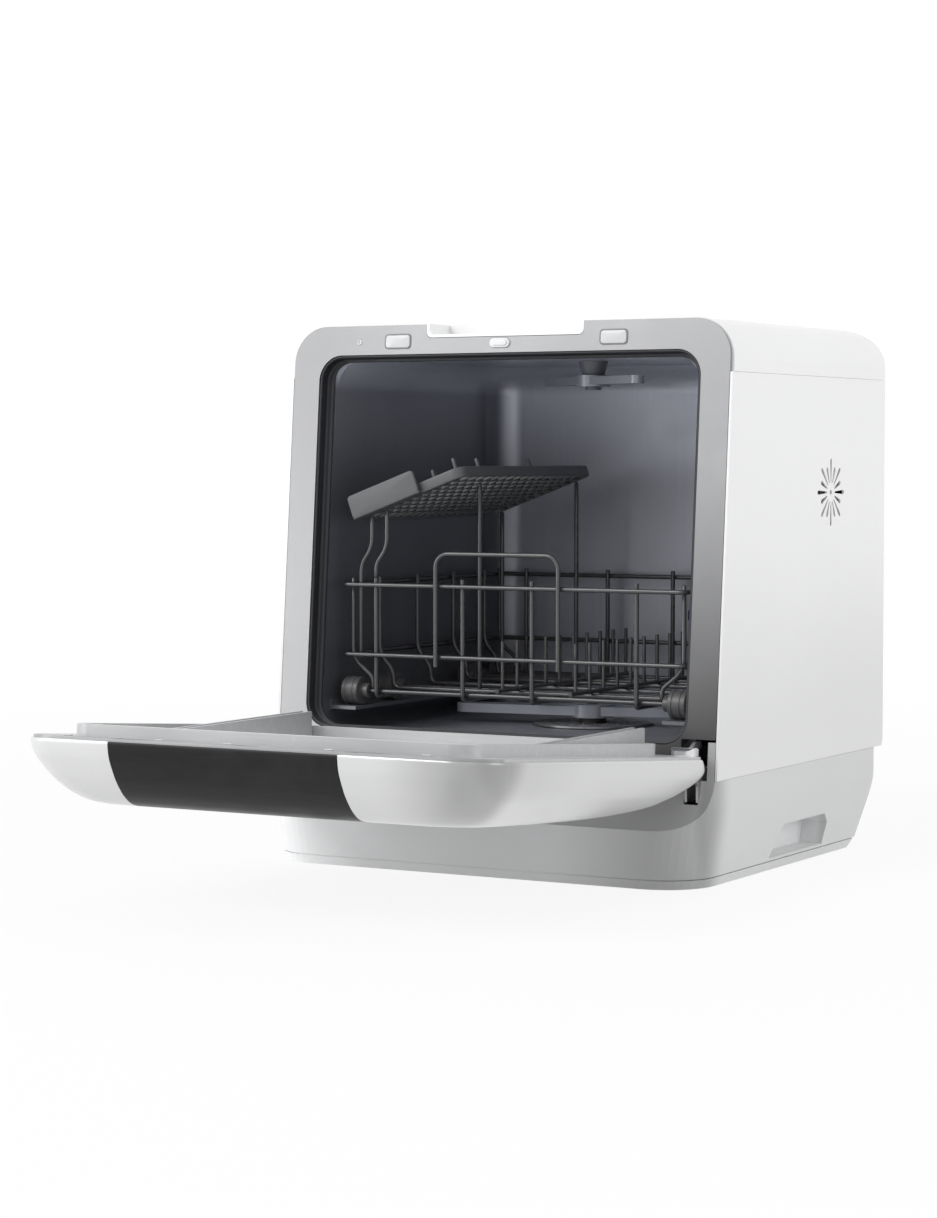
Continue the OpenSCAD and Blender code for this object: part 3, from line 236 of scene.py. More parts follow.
def smoothStep(tree, value, start, end):
    return rangeOf(tree, value, 0.0, 1.0, start, end, "SMOOTHSTEP")


def sharesOf(tree, a, shareA, b, shareB):
    return mathNode(tree, "ADD", mathNode(tree, "MULTIPLY", a, shareA), mathNode(tree, "MULTIPLY", b, shareB))


def newGroup(name, amount, start, *results):
    # an effect shared by several finishes: it reads a vector and one amount, and puts out plain values
    group = bpy.data.node_groups.new(name, "ShaderNodeTree")
    group.interface.new_socket(name="Vector", in_out="INPUT", socket_type="NodeSocketVector")
    group.interface.new_socket(name=amount, in_out="INPUT", socket_type="NodeSocketFloat").default_value = start
    for label in results:
        group.interface.new_socket(name=label, in_out="OUTPUT", socket_type="NodeSocketFloat")
    into, out = group.nodes.new("NodeGroupInput"), group.nodes.new("NodeGroupOutput")
    return group, out, into.outputs["Vector"], into.outputs[amount]


def buildGrain():
    # fine moulding grain: small noise over a broader one, with a slow drift of tone
    group, out, vector, size = newGroup("mouldingGrain", "Size", 900.0, "Height", "Drift")
    fine = noiseOf(group, vector, size, 2.0)
    broad = noiseOf(group, vector, mathNode(group, "MULTIPLY", size, 0.13), 3.0)
    feed(group, out.inputs["Drift"], noiseOf(group, vector, 5.5, 2.0, 0.45))
    feed(group, out.inputs["Height"], sharesOf(group, fine, 0.6, broad, 0.4))
    return group


def buildStreaks():
    # brushed metal: noise drawn out along one axis, crossed by finer scratches
    group, out, vector, fineness = newGroup("brushStreaks", "Fineness", 260.0, "Height", "Streak")
    long = noiseOf(group, vector, fineness, 3.0, 0.6)
    thin = noiseOf(group, vector, mathNode(group, "MULTIPLY", fineness, 3.7), 2.0, 0.7)
    feed(group, out.inputs["Height"], sharesOf(group, long, 0.65, thin, 0.35))
    feed(group, out.inputs["Streak"], long)
    return group


def buildHandling():
    # marks of handling: soft smudges where two noises meet, and scattered dried drops
    group, out, vector, drops = newGroup("handlingMarks", "Drops", 60.0, "Smudge", "Spot")
    coarse, fine = noiseOf(group, vector, 9.0, 4.0, 0.62), noiseOf(group, vector, 31.0, 3.0, 0.6)
    feed(group, out.inputs["Smudge"], smoothStep(group, mathNode(group, "MULTIPLY", coarse, fine), 0.2, 0.42))
    cells = addNode(group, "ShaderNodeTexVoronoi", {"feature": "F1"}, Vector=vector, Scale=drops)
    feed(group, out.inputs["Spot"], smoothStep(group, cells.outputs["Distance"], 0.12, 0.06))
    return group


def buildDust():
    # dust that settles on what faces up, broken by noise
    group, out, vector, amount = newGroup("settledDust", "Amount", 0.2, "Mask")
    normal = addNode(group, "ShaderNodeNewGeometry").outputs["Normal"]
    height = addNode(group, "ShaderNodeSeparateXYZ", Vector=normal).outputs["Z"]
    up = mathNode(group, "POWER", mathNode(group, "MAXIMUM", height, 0.0), 3.0)
    patch = mathNode(group, "MULTIPLY", up, noiseOf(group, vector, 22.0, 5.0, 0.65))
    feed(group, out.inputs["Mask"], mathNode(group, "MULTIPLY", patch, amount, clamp=True))
    return group


grainGroup, streakGroup, handlingGroup, dustGroup = buildGrain(), buildStreaks(), buildHandling(), buildDust()

# What a look has where it says nothing else.
plainLook = dict(stretch=(1, 1, 1), shift=(0, 0, 0), metal=0.0, ior=1.48, coat=0.0, coatRough=0.12, paintedShading=())
mouldedLook = dict(plainLook, grain=900, drops=60, dust=0.12, drift=0.03, speck=0.12, speckShade=0.8, smudge=0.08,
                   bump=0.2, depth=0.0003)
brushedLook = dict(plainLook, fineness=260, grain=700, drops=42, streak=0.12, drift=0.35, driftShade=0.78,
                   spots=0.12, smudge=0.06, bump=0.12, depth=0.0002)
dustColour = (0.62, 0.6, 0.57)


def startFinish(name, look):
    finish = bpy.data.materials.new(name)
    finish.use_nodes = True
    finish.diffuse_color = (*look["colour"], 1.0)
    tree = finish.node_tree
    place = addNode(tree, "ShaderNodeTexCoord").outputs["Object"]
    turn = addNode(tree, "ShaderNodeMapping", Vector=place, Scale=look["stretch"], Location=look["shift"])
    shader = tree.nodes["Principled BSDF"].inputs
    shader["Metallic"].default_value, shader["IOR"].default_value = look["metal"], look["ior"]
    shader["Coat Weight"].default_value, shader["Coat Roughness"].default_value = look["coat"], look["coatRough"]
    return finish, tree, place, turn.outputs["Vector"]


def placeGroup(tree, group, vector, **values):
    return addNode(tree, "ShaderNodeGroup", {"node_tree": group}, Vector=vector, **values).outputs


def blendColours(tree, mask, a, b, how="MIX"):
    node = addNode(tree, "ShaderNodeMix", {"data_type": "RGBA", "blend_type": how})
    for i, value in ((0, mask), (6, a), (7, b)):
        feed(tree, node.inputs[i], value)
    return node.outputs[2]


def shadeOf(colour, factor):
    return tuple(min(1.0, c * factor) for c in colour)


def paintLightAndShade(tree, place, tone, paintedShading):
    # painted shade and painted light: each zone multiplies the tone by its factor where all of its spans along X, Y
    # or Z overlap, darker below 1 and lighter above 1
    split = addNode(tree, "ShaderNodeSeparateXYZ", Vector=place)
    for factor, spans in paintedShading:
        mask = None
        for axis, start, end in spans:
            part = smoothStep(tree, split.outputs[axis], start, end)
            mask = part if mask is None else mathNode(tree, "MULTIPLY", mask, part)
        tone = blendColours(tree, mask, tone, (factor, factor, factor), "MULTIPLY")
    return tone


def closeFinish(finish, look, tone, height, smudge, rough=None):
    # smudges make a surface rougher where no other roughness is given
    tree = finish.node_tree
    shader = tree.nodes["Principled BSDF"]
    feed(tree, shader.inputs["Base Color"], tone)
    rough = rough or rangeOf(tree, smudge, look["rough"], look["rough"] + look["smudge"])
    feed(tree, shader.inputs["Roughness"], rough)
    bump = addNode(tree, "ShaderNodeBump", Strength=look["bump"], Distance=look["depth"], Height=height)
    feed(tree, shader.inputs["Normal"], bump.outputs["Normal"])
    return finish


def mouldedFinish(name, look):
    # moulded or painted surface: drift of tone, fine grain, smudges, a little dust, zones of painted shade and
    # painted light where a look gives them,
    # and on thin round wire painted shade: a darker tone towards the edge of what is seen
    look = {**mouldedLook, **look}
    colour, drift = look["colour"], look["drift"]
    finish, tree, place, vector = startFinish(name, look)
    grain = placeGroup(tree, grainGroup, vector, Size=look["grain"])
    marks = placeGroup(tree, handlingGroup, place, Drops=look["drops"])
    dust = placeGroup(tree, dustGroup, place, Amount=look["dust"])["Mask"]
    tone = rangeOf(tree, grain["Drift"], 0.0, 1.0, 0.3, 0.7)
    tone = blendColours(tree, tone, shadeOf(colour, 1.0 - drift), shadeOf(colour, 1.0 + drift))
    speck = rangeOf(tree, grain["Height"], 0.0, look["speck"], 0.45, 0.75)
    tone = blendColours(tree, speck, tone, shadeOf(colour, look["speckShade"]))
    tone = blendColours(tree, dust, tone, dustColour)
    tone = paintLightAndShade(tree, place, tone, look["paintedShading"])
    # painted shade: the tone darkens towards the outline where a round wire turns away, standing in for a dark
    # reflection
    if "edge" in look:
        facing = addNode(tree, "ShaderNodeLayerWeight", Blend=0.5).outputs["Facing"]
        tone = blendColours(tree, rangeOf(tree, facing, 0.0, 1.0, 0.25, 0.85), tone, shadeOf(colour, look["edge"]))
    return closeFinish(finish, look, tone, grain["Height"], marks["Smudge"])


def brushedFinish(name, look):
    # metal with drawn-out streaks, dried drops and a slow drift of tone, and zones of painted shade and painted
    # light where a look gives them
    look = {**brushedLook, **look}
    colour, streak = look["colour"], look["streak"]
    finish, tree, place, vector = startFinish(name, look)
    brush = placeGroup(tree, streakGroup, vector, Fineness=look["fineness"])
    grain = placeGroup(tree, grainGroup, place, Size=look["grain"])
    marks = placeGroup(tree, handlingGroup, place, Drops=look["drops"])
    tone = rangeOf(tree, brush["Streak"], 0.0, 1.0, 0.32, 0.68)
    tone = blendColours(tree, tone, shadeOf(colour, 1.0 - streak), shadeOf(colour, 1.0 + streak))
    drift = rangeOf(tree, grain["Drift"], 0.0, look["drift"], 0.35, 0.7)
    tone = blendColours(tree, drift, tone, shadeOf(colour, look["driftShade"]))
    tone = blendColours(tree, rangeOf(tree, marks["Spot"], 0.0, look["spots"]), tone, shadeOf(colour, 1.5))
    tone = paintLightAndShade(tree, place, tone, look["paintedShading"])
    along = rangeOf(tree, brush["Streak"], look["rough"] - 0.05, look["rough"] + 0.07)
    rough = mathNode(tree, "ADD", along, rangeOf(tree, marks["Smudge"], 0.0, look["smudge"]), clamp=True)
    return closeFinish(finish, look, tone, brush["Height"], None, rough)


mouldedLooks = {
    # shellWhite: painted shade, darker towards the bottom of the housing
    "shellWhite": dict(colour=(0.88, 0.882, 0.885), rough=0.34, grain=1500, bump=0.1, depth=0.0002, drift=0.012,
        speck=0.04, dust=0.08, coat=0.15, paintedShading=[(0.86, [("Z", 0.3, 0.1)])]),
    # baseGrey: painted shade on the front towards the right corner, and on the right side face
    "baseGrey": dict(colour=(0.82, 0.825, 0.83), rough=0.42, grain=1100, bump=0.18, drift=0.015, speck=0.06,
        dust=0.1, paintedShading=[(0.52, [("X", 0.06, 0.19), ("Y", -0.13, -0.17)]), (0.8, [("X", 0.195, 0.202)])]),
    "pocketWhite": dict(colour=(0.76, 0.765, 0.77), rough=0.3, grain=1300, bump=0.08, drift=0.01, speck=0.04),
    "gasketRubber": dict(colour=(0.02, 0.021, 0.026), rough=0.5, grain=1900, bump=0.3, drift=0.15, speck=0.3,
        speckShade=1.9, dust=0.16),
    "sprayGrey": dict(colour=(0.37, 0.385, 0.43), rough=0.3, grain=1200, bump=0.12, drift=0.06, speck=0.08,
        metal=0.25),
    "darkMoulding": dict(colour=(0.05, 0.05, 0.053), rough=0.48, grain=1000, bump=0.3, drift=0.1, speck=0.25,
        speckShade=1.6, dust=0.3),
    "paleMoulding": dict(colour=(0.62, 0.62, 0.6), rough=0.42, drift=0.04, speck=0.1, dust=0.2),
    "clearTank": dict(colour=(0.74, 0.76, 0.76), rough=0.22, grain=700, bump=0.1, drift=0.05, coat=0.3),
    "ductGrey": dict(colour=(0.17, 0.175, 0.195), rough=0.44, bump=0.25, drift=0.06, speck=0.1, dust=0.2),
    "lensGrey": dict(colour=(0.68, 0.68, 0.69), rough=0.14, grain=1400, bump=0.05, drift=0.05, coat=0.6,
        coatRough=0.05),
    "footRubber": dict(colour=(0.03, 0.03, 0.032), rough=0.7, grain=1300, bump=0.4, drift=0.1, speck=0.3,
        speckShade=1.8, dust=0.3),
    # wireCoat: edge is painted shade, a darker tone towards the wire's outline
    "wireCoat": dict(colour=(0.078, 0.079, 0.082), metal=0.1, rough=0.22, grain=420, bump=0.03, depth=0.0002,
        drift=0.1, speck=0.1, speckShade=1.4, dust=0.0, ior=1.5, coat=0.2, coatRough=0.16, edge=0.1),
    "trayGrey": dict(colour=(0.1, 0.102, 0.106), rough=0.42, dust=0.03, grain=800, bump=0.25, drift=0.08, speck=0.2,
        speckShade=1.4),
    "wheelGrey": dict(colour=(0.085, 0.085, 0.087), rough=0.36, dust=0.03, bump=0.22, drift=0.08, speck=0.16,
        speckShade=1.4),
    "clipBlue": dict(colour=(0.005, 0.005, 0.04), ior=1.24, rough=0.36, dust=0.0, grain=1000, bump=0.15, drift=0.1,
        speckShade=1.7),
    "borderGrey": dict(colour=(0.2, 0.2, 0.205), rough=0.45, grain=1400, bump=0.15),
    "lipBright": dict(colour=(0.6, 0.603, 0.61), rough=0.28, grain=1300, bump=0.06, drift=0.02, coat=0.3),
    "dispenserGrey": dict(colour=(0.56, 0.565, 0.57), rough=0.36, grain=1000, bump=0.16, speck=0.08),
    "lidGrey": dict(colour=(0.38, 0.385, 0.395), rough=0.33, grain=1000, bump=0.14, drift=0.04, speck=0.08)}

brushedLooks = {
    # linerGrey: painted shade on the outer front wall of the lip
    "linerGrey": dict(colour=(0.56, 0.565, 0.573), metal=0.2, rough=0.36, fineness=190, stretch=(0.08, 1, 1),
        streak=0.05, drift=0.3, spots=0.16, bump=0.08, paintedShading=[(0.7, [("Y", -0.499, -0.504)])]),
    # tubSteel: painted shade on the left wall below the top and towards the right, painted light towards the top
    "tubSteel": dict(colour=(0.43, 0.443, 0.495), metal=0.45, rough=0.34, fineness=240, stretch=(1, 1, 0.06),
        streak=0.03, drift=0.4, driftShade=0.86, spots=0.06, bump=0.04, drops=34,
        paintedShading=[(0.34, [("X", -0.15, -0.172), ("Z", 0.428, 0.4)]), (0.66, [("X", 0.04, 0.14)]),
               (1.8, [("Z", 0.31, 0.43)])]),
    "railSteel": dict(colour=(0.2, 0.205, 0.22), metal=0.6, rough=0.35, fineness=220, streak=0.1,
        stretch=(1, 0.06, 1)),
    "bracketSteel": dict(colour=(0.42, 0.42, 0.43), metal=0.85, rough=0.36, fineness=320, stretch=(1, 0.2, 1),
        streak=0.16),
    "sheetZinc": dict(colour=(0.52, 0.53, 0.54), metal=0.9, rough=0.4, fineness=130, streak=0.14, drift=0.5,
        spots=0.2),
    "brightCap": dict(colour=(0.74, 0.74, 0.75), metal=0.9, rough=0.16, fineness=500, streak=0.04, drift=0.2,
        bump=0.04),
    "springSteel": dict(colour=(0.3, 0.3, 0.31), metal=0.95, rough=0.3, fineness=600, streak=0.2)}


def frameFinish(name):
    # silver paint on the front: metal flake under a satin coat; its zones are painted shade, much darker towards the
    # foot on the right where it stands in for a dark reflection, and a little darker towards the top on the left
    look = dict(plainLook, colour=(0.34, 0.342, 0.35), metal=0.5, coat=0.15, coatRough=0.3, rough=0.3, smudge=0.07,
                grain=1400, drops=70, bump=0.1, depth=0.0002, flake=2600, flakeColour=(0.74, 0.74, 0.75),
                paintedShading=[(0.15, [("X", -0.12, 0.24), ("Z", 0.36, 0.08)]),
                       (0.78, [("X", -0.06, -0.2), ("Z", 0.12, 0.46)])])
    finish, tree, place, vector = startFinish(name, look)
    grain = placeGroup(tree, grainGroup, vector, Size=look["grain"])
    marks = placeGroup(tree, handlingGroup, place, Drops=look["drops"])
    flake = addNode(tree, "ShaderNodeTexVoronoi", {"feature": "F1"}, Vector=vector, Scale=look["flake"])
    sparkle = rangeOf(tree, flake.outputs["Distance"], 0.16, 0.0, 0.0, 0.35)
    tone = blendColours(tree, sparkle, look["colour"], look["flakeColour"])
    tone = paintLightAndShade(tree, place, tone, look["paintedShading"])
    return closeFinish(finish, look, tone, grain["Height"], marks["Smudge"])


def doorFinish(name):
    # pearl paint of the door: long soft waves of tone along the door, fine flake and satin coat; the zones are
    # painted shade:
    # a dark reflection painted on the outer corner on the right, and darker tone on the underside on the right and
    # the right edge of the open door
    look = dict(plainLook, colour=(0.65, 0.652, 0.658), metal=0.25, rough=0.28, smudge=0.1, coat=0.3, coatRough=0.16,
                stretch=(1, 0.3, 1), grain=1700, drops=80, bump=0.025, depth=0.0002, wave=0.04, waveSize=6.0,
                flake=0.12, flakeColour=(0.8, 0.8, 0.81),
                paintedShading=[(0.6, [("X", 0.105, 0.186), ("Y", -0.466, -0.496)]),
                       (0.86, [("X", 0.09, 0.13), ("Z", 0.08, 0.045)]),
                       (0.86, [("X", 0.19, 0.2), ("Y", -0.36, -0.48)])])
    colour, wave = look["colour"], look["wave"]
    finish, tree, place, vector = startFinish(name, look)
    grain = placeGroup(tree, grainGroup, place, Size=look["grain"])
    marks = placeGroup(tree, handlingGroup, place, Drops=look["drops"])
    tone = rangeOf(tree, noiseOf(tree, vector, look["waveSize"], 1.0, 0.4), 0.0, 1.0, 0.35, 0.65)
    tone = blendColours(tree, tone, shadeOf(colour, 1 - wave), shadeOf(colour, 1 + wave))
    flake = rangeOf(tree, grain["Height"], 0.0, look["flake"], 0.5, 0.8)
    tone = blendColours(tree, flake, tone, look["flakeColour"])
    tone = paintLightAndShade(tree, place, tone, look["paintedShading"])
    return closeFinish(finish, look, tone, grain["Height"], marks["Smudge"])


def panelFinish(name):
    # dark satin panel: near-black with fine lengthwise lines and faint smudges
    look = dict(plainLook, colour=(0.011, 0.011, 0.0122), rough=0.34, smudge=0.12, ior=1.28, coat=0.02,
                coatRough=0.2, stretch=(0.05, 1, 1), fineness=420, drops=60, bump=0.05, depth=0.0002,
                smudgeShare=0.25, smudgeColour=(0.03, 0.03, 0.032))
    finish, tree, place, vector = startFinish(name, look)
    brush = placeGroup(tree, streakGroup, vector, Fineness=look["fineness"])
    smudge = placeGroup(tree, handlingGroup, place, Drops=look["drops"])["Smudge"]
    tone = rangeOf(tree, brush["Streak"], 0.0, 1.0, 0.3, 0.7)
    tone = blendColours(tree, tone, shadeOf(look["colour"], 0.86), shadeOf(look["colour"], 1.2))
    tone = blendColours(tree, rangeOf(tree, smudge, 0.0, look["smudgeShare"]), tone, look["smudgeColour"])
    return closeFinish(finish, look, tone, brush["Height"], smudge)


def boardFinish(name, shift):
    # circuit board: green lacquer over paler tracks laid as bricks, with solder dots
    look = dict(plainLook, colour=(0.012, 0.11, 0.045), rough=0.28, smudge=0.14, coat=0.4, shift=(shift, 0, 0),
                bump=0.3, depth=0.0003, trackScale=190, tracks=((0.02, 0.17, 0.07), (0.012, 0.12, 0.05)),
                lines=(0.05, 0.26, 0.11), solder=(0.6, 0.6, 0.58), dots=420)
    finish, tree, place, vector = startFinish(name, look)
    tracks = addNode(tree, "ShaderNodeTexBrick", {"offset": 0.37, "squash": 0.8}, Vector=vector,
                     Scale=look["trackScale"], Color1=look["tracks"][0], Color2=look["tracks"][1],
                     Mortar=look["lines"]).outputs
    marks = placeGroup(tree, handlingGroup, vector, Drops=look["dots"])
    tone = blendColours(tree, marks["Spot"], tracks["Color"], look["solder"])
    return closeFinish(finish, look, tone, tracks["Fac"], marks["Smudge"])


finishes = {name: mouldedFinish(name, look) for name, look in mouldedLooks.items()}
finishes.update({name: brushedFinish(name, look) for name, look in brushedLooks.items()})
finishes.update(frameSilver=frameFinish("frameSilver"), doorPearl=doorFinish("doorPearl"),
                panelBlack=panelFinish("panelBlack"), boardGreen=boardFinish("boardGreen", 0.0),
                panelBoardGreen=boardFinish("panelBoardGreen", 0.31))

wearers = {
    "baseGrey": "base_moulding", "sheetZinc": "base_pan", "footRubber": "feet", "frameSilver": "front_frame",
    "shellWhite": "side_panel_left side_panel_right top_cover rear_panel", "gasketRubber": "door_seal cord_gland",
    "tubSteel": "tub", "railSteel": "tub_rails", "clearTank": "air_breaker", "boardGreen": "power_board",
    "darkMoulding": "sump circulation_pump drain_pump fan_housing catch_cup", "ductGrey": "feed_duct fan_rotor",
    "bracketSteel": "filter_plate hinge_brackets rear_screws hinge_arms",
    "paleMoulding": "inlet_valve drain_outlet", "springSteel": "heater hinge_pins hinge_springs",
    "pocketWhite": "door_buffers door_catch", "lensGrey": "sensor_window", "doorPearl": "door_shell",
    "sprayGrey": "upper_spray_arm lower_spray_arm", "panelBlack": "control_panel", "linerGrey": "door_liner",
    "brightCap": "hinge_covers", "dispenserGrey": "dispenser", "lidGrey": "dispenser_lid rinse_cap",
    "panelBoardGreen": "panel_board", "trayGrey": "cutlery_tray", "clipBlue": "shelf_clips cup_shelf",
    "wireCoat": "upper_rail lower_rail long_wires cross_wires axle_rods basket_handle basket_posts plate_tines "
                "shelf_rod",
    "wheelGrey": "wheels_front_outer wheels_front_inner wheels_rear_inner wheels_rear_outer"}

for finish, names in wearers.items():
    for name in names.split():
        if len(nodes[name].material_slots) == 0:
            nodes[name].data.materials.append(finishes[finish])
        for slot in nodes[name].material_slots:
            slot.material = finishes[finish]
print("finishes given to", sum(len(names.split()) for names in wearers.values()), "nodes")

# Door skin: rounded loops carried out from the rim to the crown, cut for the panel and the hinge arms.
doorShape = dict(
    halfWidth=206, cornerRadius=34, skin=1.8, loops=66, crown=0.5,
    # inset of the sides and the top, distance out from the frame, lower end
    levels=[(0.3, 3.2, 97), (0, 5.5, 95), (1.3, 12, 88.6), (3.1, 17, 88.4), (5.8, 22, 92.5), (8.8, 27, 99.5),
            (12.1, 32, 109.5), (15.4, 36, 119.5), (19.1, 40, 133), (22.9, 43.5, 156), (27, 46.5, 188),
            (31.2, 49, 228), (36, 50.8, 277), (42, 52, 332)],
    panelLeft=-117, panelRight=85, panelFoot=frameTop - 50, panelCorner=9, panelGap=0.35,
    armXs=(-190, 190), armHalf=7.5, armSpan=(60, 105.5))


def doorSkinShell():
    # each loop is a rounded rectangle; its inset, height and lower end follow one smooth curve of levels,
    # and the last loops shrink to a point on the crown
    d = doorShape
    inset, out, low = smoothThrough(d["levels"], d["loops"]).T
    x, s = roundedLoop(d["halfWidth"] - inset, low, frameTop - inset, np.minimum(12 + inset, 28),
                       np.full_like(inset, d["cornerRadius"]), 18)
    n = np.repeat(out[:, None], x.shape[1], 1)
    shrink = np.cos(np.linspace(0, quarter, 9)[1:-1])[:, None]
    midS = (s[-1].min() + s[-1].max()) / 2
    x = np.vstack([x, x[-1] * shrink])
    s = np.vstack([s, midS + (s[-1] - midS) * shrink])
    n = np.vstack([n, out[-1] + d["crown"] * (1 - np.repeat(shrink, n.shape[1], 1) ** 2)])
    rows, columns = x.shape
    flat = np.vstack([pointsOf(x, s, n), [[0.0, midS, out[-1] + d["crown"]]]])
    ring = np.arange(columns) + (rows - 1) * columns
    return onOpenDoor(*flat.T), [gridFaces(rows, columns), fanFaces(ring, rows * columns)]


def prism(x0, x1, s0, s1, n0, n1, radius):
    # cutter: a rounded rectangle carried straight along n
    x, s = roundedLoop((x1 - x0) / 2, s0, s1, radius, radius, 10)
    count = x.shape[1]
    points = onOpenDoor(np.vstack([x, x]) + (x0 + x1) / 2, np.vstack([s, s]), np.array([[n0], [n1]]))
    ends = [range(count)[::-1], range(count, 2 * count)]
    cutter = addMesh("cutter", points, [gridFaces(2, count), ends])
    turnOutward(cutter)
    return cutter


def makeDoorSkin():
    # the wall is thickened first, then the panel is cut out of a copy and its opening out of the skin
    d = doorShape
    skin = makePiece("doorSkin", *doorSkinShell(), "door", "doorPearl")
    turnOutward(skin)
    if skin.data.polygons[0].normal.z > 0.5:
        skin.data.flip_normals()
    wall = skin.modifiers.new("wall", "SOLIDIFY")
    wall.thickness, wall.offset, wall.use_even_offset = d["skin"] / 1000, -1.0, True
    applyModifiers(skin)
    turnOutward(skin)
    panel = addObject("panelSkin", skin.data.copy())
    for piece, gap, how in ((skin, 0.0, "DIFFERENCE"), (panel, d["panelGap"], "INTERSECT")):
        left, right, foot = d["panelLeft"] + gap, d["panelRight"] - gap, d["panelFoot"] + gap
        carve(piece, prism(left, right, foot, frameTop + 60, -30, 90, d["panelCorner"]), how)
    for x in d["armXs"]:
        carve(skin, prism(x - d["armHalf"], x + d["armHalf"], *d["armSpan"], -20, 24, 0.6), "DIFFERENCE")
    dressPiece(skin, "doorPearl", 32.0)
    dressPiece(panel, "panelBlack", 32.0)
    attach(panel, "door")
    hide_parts("door_shell")
    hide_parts("control_panel")
    return skin


doorSkin = makeDoorSkin()
print("door skin and panel made,", len(doorSkin.data.polygons), "faces")

# Gasket: one lip profile carried round the opening.
gasketShape = dict(
    halfWidth=182, low=113.8, high=frameTop - 25, radius=22,
    # inward offset at the side, at the foot, at the top, and the distance out from the frame
    lip=[(0.2, 0.2, 0.2, -13.8), (0.2, 0.2, 0.2, -9), (0.2, 0.2, 0.2, -3), (0.3, 0.3, 0.3, -1.4),
         (1, 1, 1, -1.05), (1.9, 1.9, 1.9, -1.3), (2.4, 2.4, 2.4, -2.6), (2.2, 2.2, 2.2, -4.5),
         (2.45, 2.4, 2.4, -7), (2.2, 2.1, 2.2, -9.4), (3.6, 2.3, 2.9, -10.9), (6.2, 2.8, 4.2, -11.2),
         (7.8, 3, 4.9, -12), (7.6, 2.9, 4.8, -13.4), (5, 2.4, 3.6, -13.8)])


def makeGasket():
    # the lip profile is a closed smooth curve; every point of it runs round the opening as a rounded rectangle
    g = gasketShape
    side, foot, top, out = smoothThrough(g["lip"] + g["lip"][:1], 61)[:-1].T
    low, high, radius = g["low"], g["high"], g["radius"]
    x, s = roundedLoop(g["halfWidth"] - side, low + foot, high - top, radius - foot, radius - top, 16)
    shell = (onFront(x, s, out[:, None]), [gridFaces(len(out), x.shape[1], True, True)])
    makeClosed("gasketLip", [shell], "housing", "gasketRubber", "door_seal", smoothAngle=60.0)


makeGasket()
print("gasket made")

# Rounded corners of the tub: two upright ones and one across at the back, and two along the top.
coveShape = dict(halfWidth=173.9, front=-117, back=168.9, low=112, top=429.8, radius=26, steps=16, levels=26)


def coveBar(start, end, inA, inB):
    # quarter of a hollow cylinder between two walls, closed behind by the line where the walls meet
    a = np.linspace(0, quarter, coveShape["steps"])[:, None]
    inA, inB, r = np.array(inA, float), np.array(inB, float), coveShape["radius"]
    section = np.vstack([inA * r * (1 - np.cos(a)) + inB * r * (1 - np.sin(a)), [[0.0, 0.0, 0.0]]])
    along = np.linspace(0, 1, coveShape["levels"])[:, None, None]
    line = np.array(start, float) * (1 - along) + np.array(end, float) * along
    points = line + section[None, :, :]
    rows, columns = points.shape[:2]
    ends = [np.arange(columns)[None, :], (np.arange(columns) + (rows - 1) * columns)[None, ::-1]]
    return points.reshape(-1, 3), [gridFaces(rows, columns)] + ends


def coveCorner(side):
    # eighth of a hollow ball where three bars meet, closed behind by the point where the walls meet
    c, r, count = coveShape, coveShape["radius"], coveShape["steps"]
    a = np.linspace(0, quarter, count)[None, :]
    b = np.linspace(0, quarter, count)[:-1, None]
    centre = np.array([side * (c["halfWidth"] - r), c["back"] - r, c["top"] - r])
    way = pointsOf(side * np.cos(b) * np.cos(a), np.cos(b) * np.sin(a), np.sin(b))
    points = np.vstack([centre + r * way, [centre + (0, 0, r)], [[side * c["halfWidth"], c["back"], c["top"]]]])
    rows, pole = count - 1, (count - 1) * count
    top = np.arange(count) + (rows - 1) * count
    edge = np.concatenate([np.arange(count), np.arange(1, rows) * count + count - 1, [pole],
                           np.arange(rows - 1, 0, -1) * count])
    cap = np.stack([top[:-1], top[1:], np.full(count - 1, pole)], -1)
    return points, [gridFaces(rows, count, False, False), cap, fanFaces(edge, pole + 1, True)]


def makeCoves():
    # each bar lies in one corner of the tub, turned by the two directions that lead inwards from its walls
    back, top, front, r = [coveShape[key] for key in ("back", "top", "front", "radius")]
    inner, shells = coveShape["halfWidth"] - r, {}
    for name, side in (("Left", -1), ("Right", 1)):
        x = side * coveShape["halfWidth"]
        upright = coveBar((x, back, coveShape["low"]), (x, back, top - r), (-side, 0, 0), (0, -1, 0))
        shells["tubCorner" + name] = [upright, coveCorner(side)]
        shells["tubTopCove" + name] = [coveBar((x, front, top), (x, back - r, top), (-side, 0, 0), (0, 0, -1))]
    shells["tubBackCove"] = [coveBar((-inner, back, top), (inner, back, top), (0, -1, 0), (0, 0, -1))]
    for name, parts in shells.items():
        makeClosed(name, parts, "housing", "tubSteel", "tub", False)


def softBlock(low, high, corner, edge, steps=4):
    # rounded rectangle whose loops draw in along a quarter circle at both ends
    low, high = np.array(low, float), np.array(high, float)
    a = np.linspace(0, quarter, steps + 1)
    inset = edge * np.concatenate([1 - np.sin(a), 1 - np.cos(a)])
    rise = np.concatenate([low[2] + edge * (1 - np.cos(a)), high[2] - edge * (1 - np.sin(a))])
    half, mid = (high - low) / 2, (high + low) / 2
    radius = np.maximum(corner - inset, 0.05)
    x, y = roundedLoop(half[0] - inset, mid[1] - half[1] + inset, mid[1] + half[1] - inset, radius, radius, 6)
    grid = pointsOf(x + mid[0], y, rise[:, None]).reshape(*x.shape, 3)
    return tippedGrid(grid, (mid[0], mid[1], low[2]), (mid[0], mid[1], high[2]))


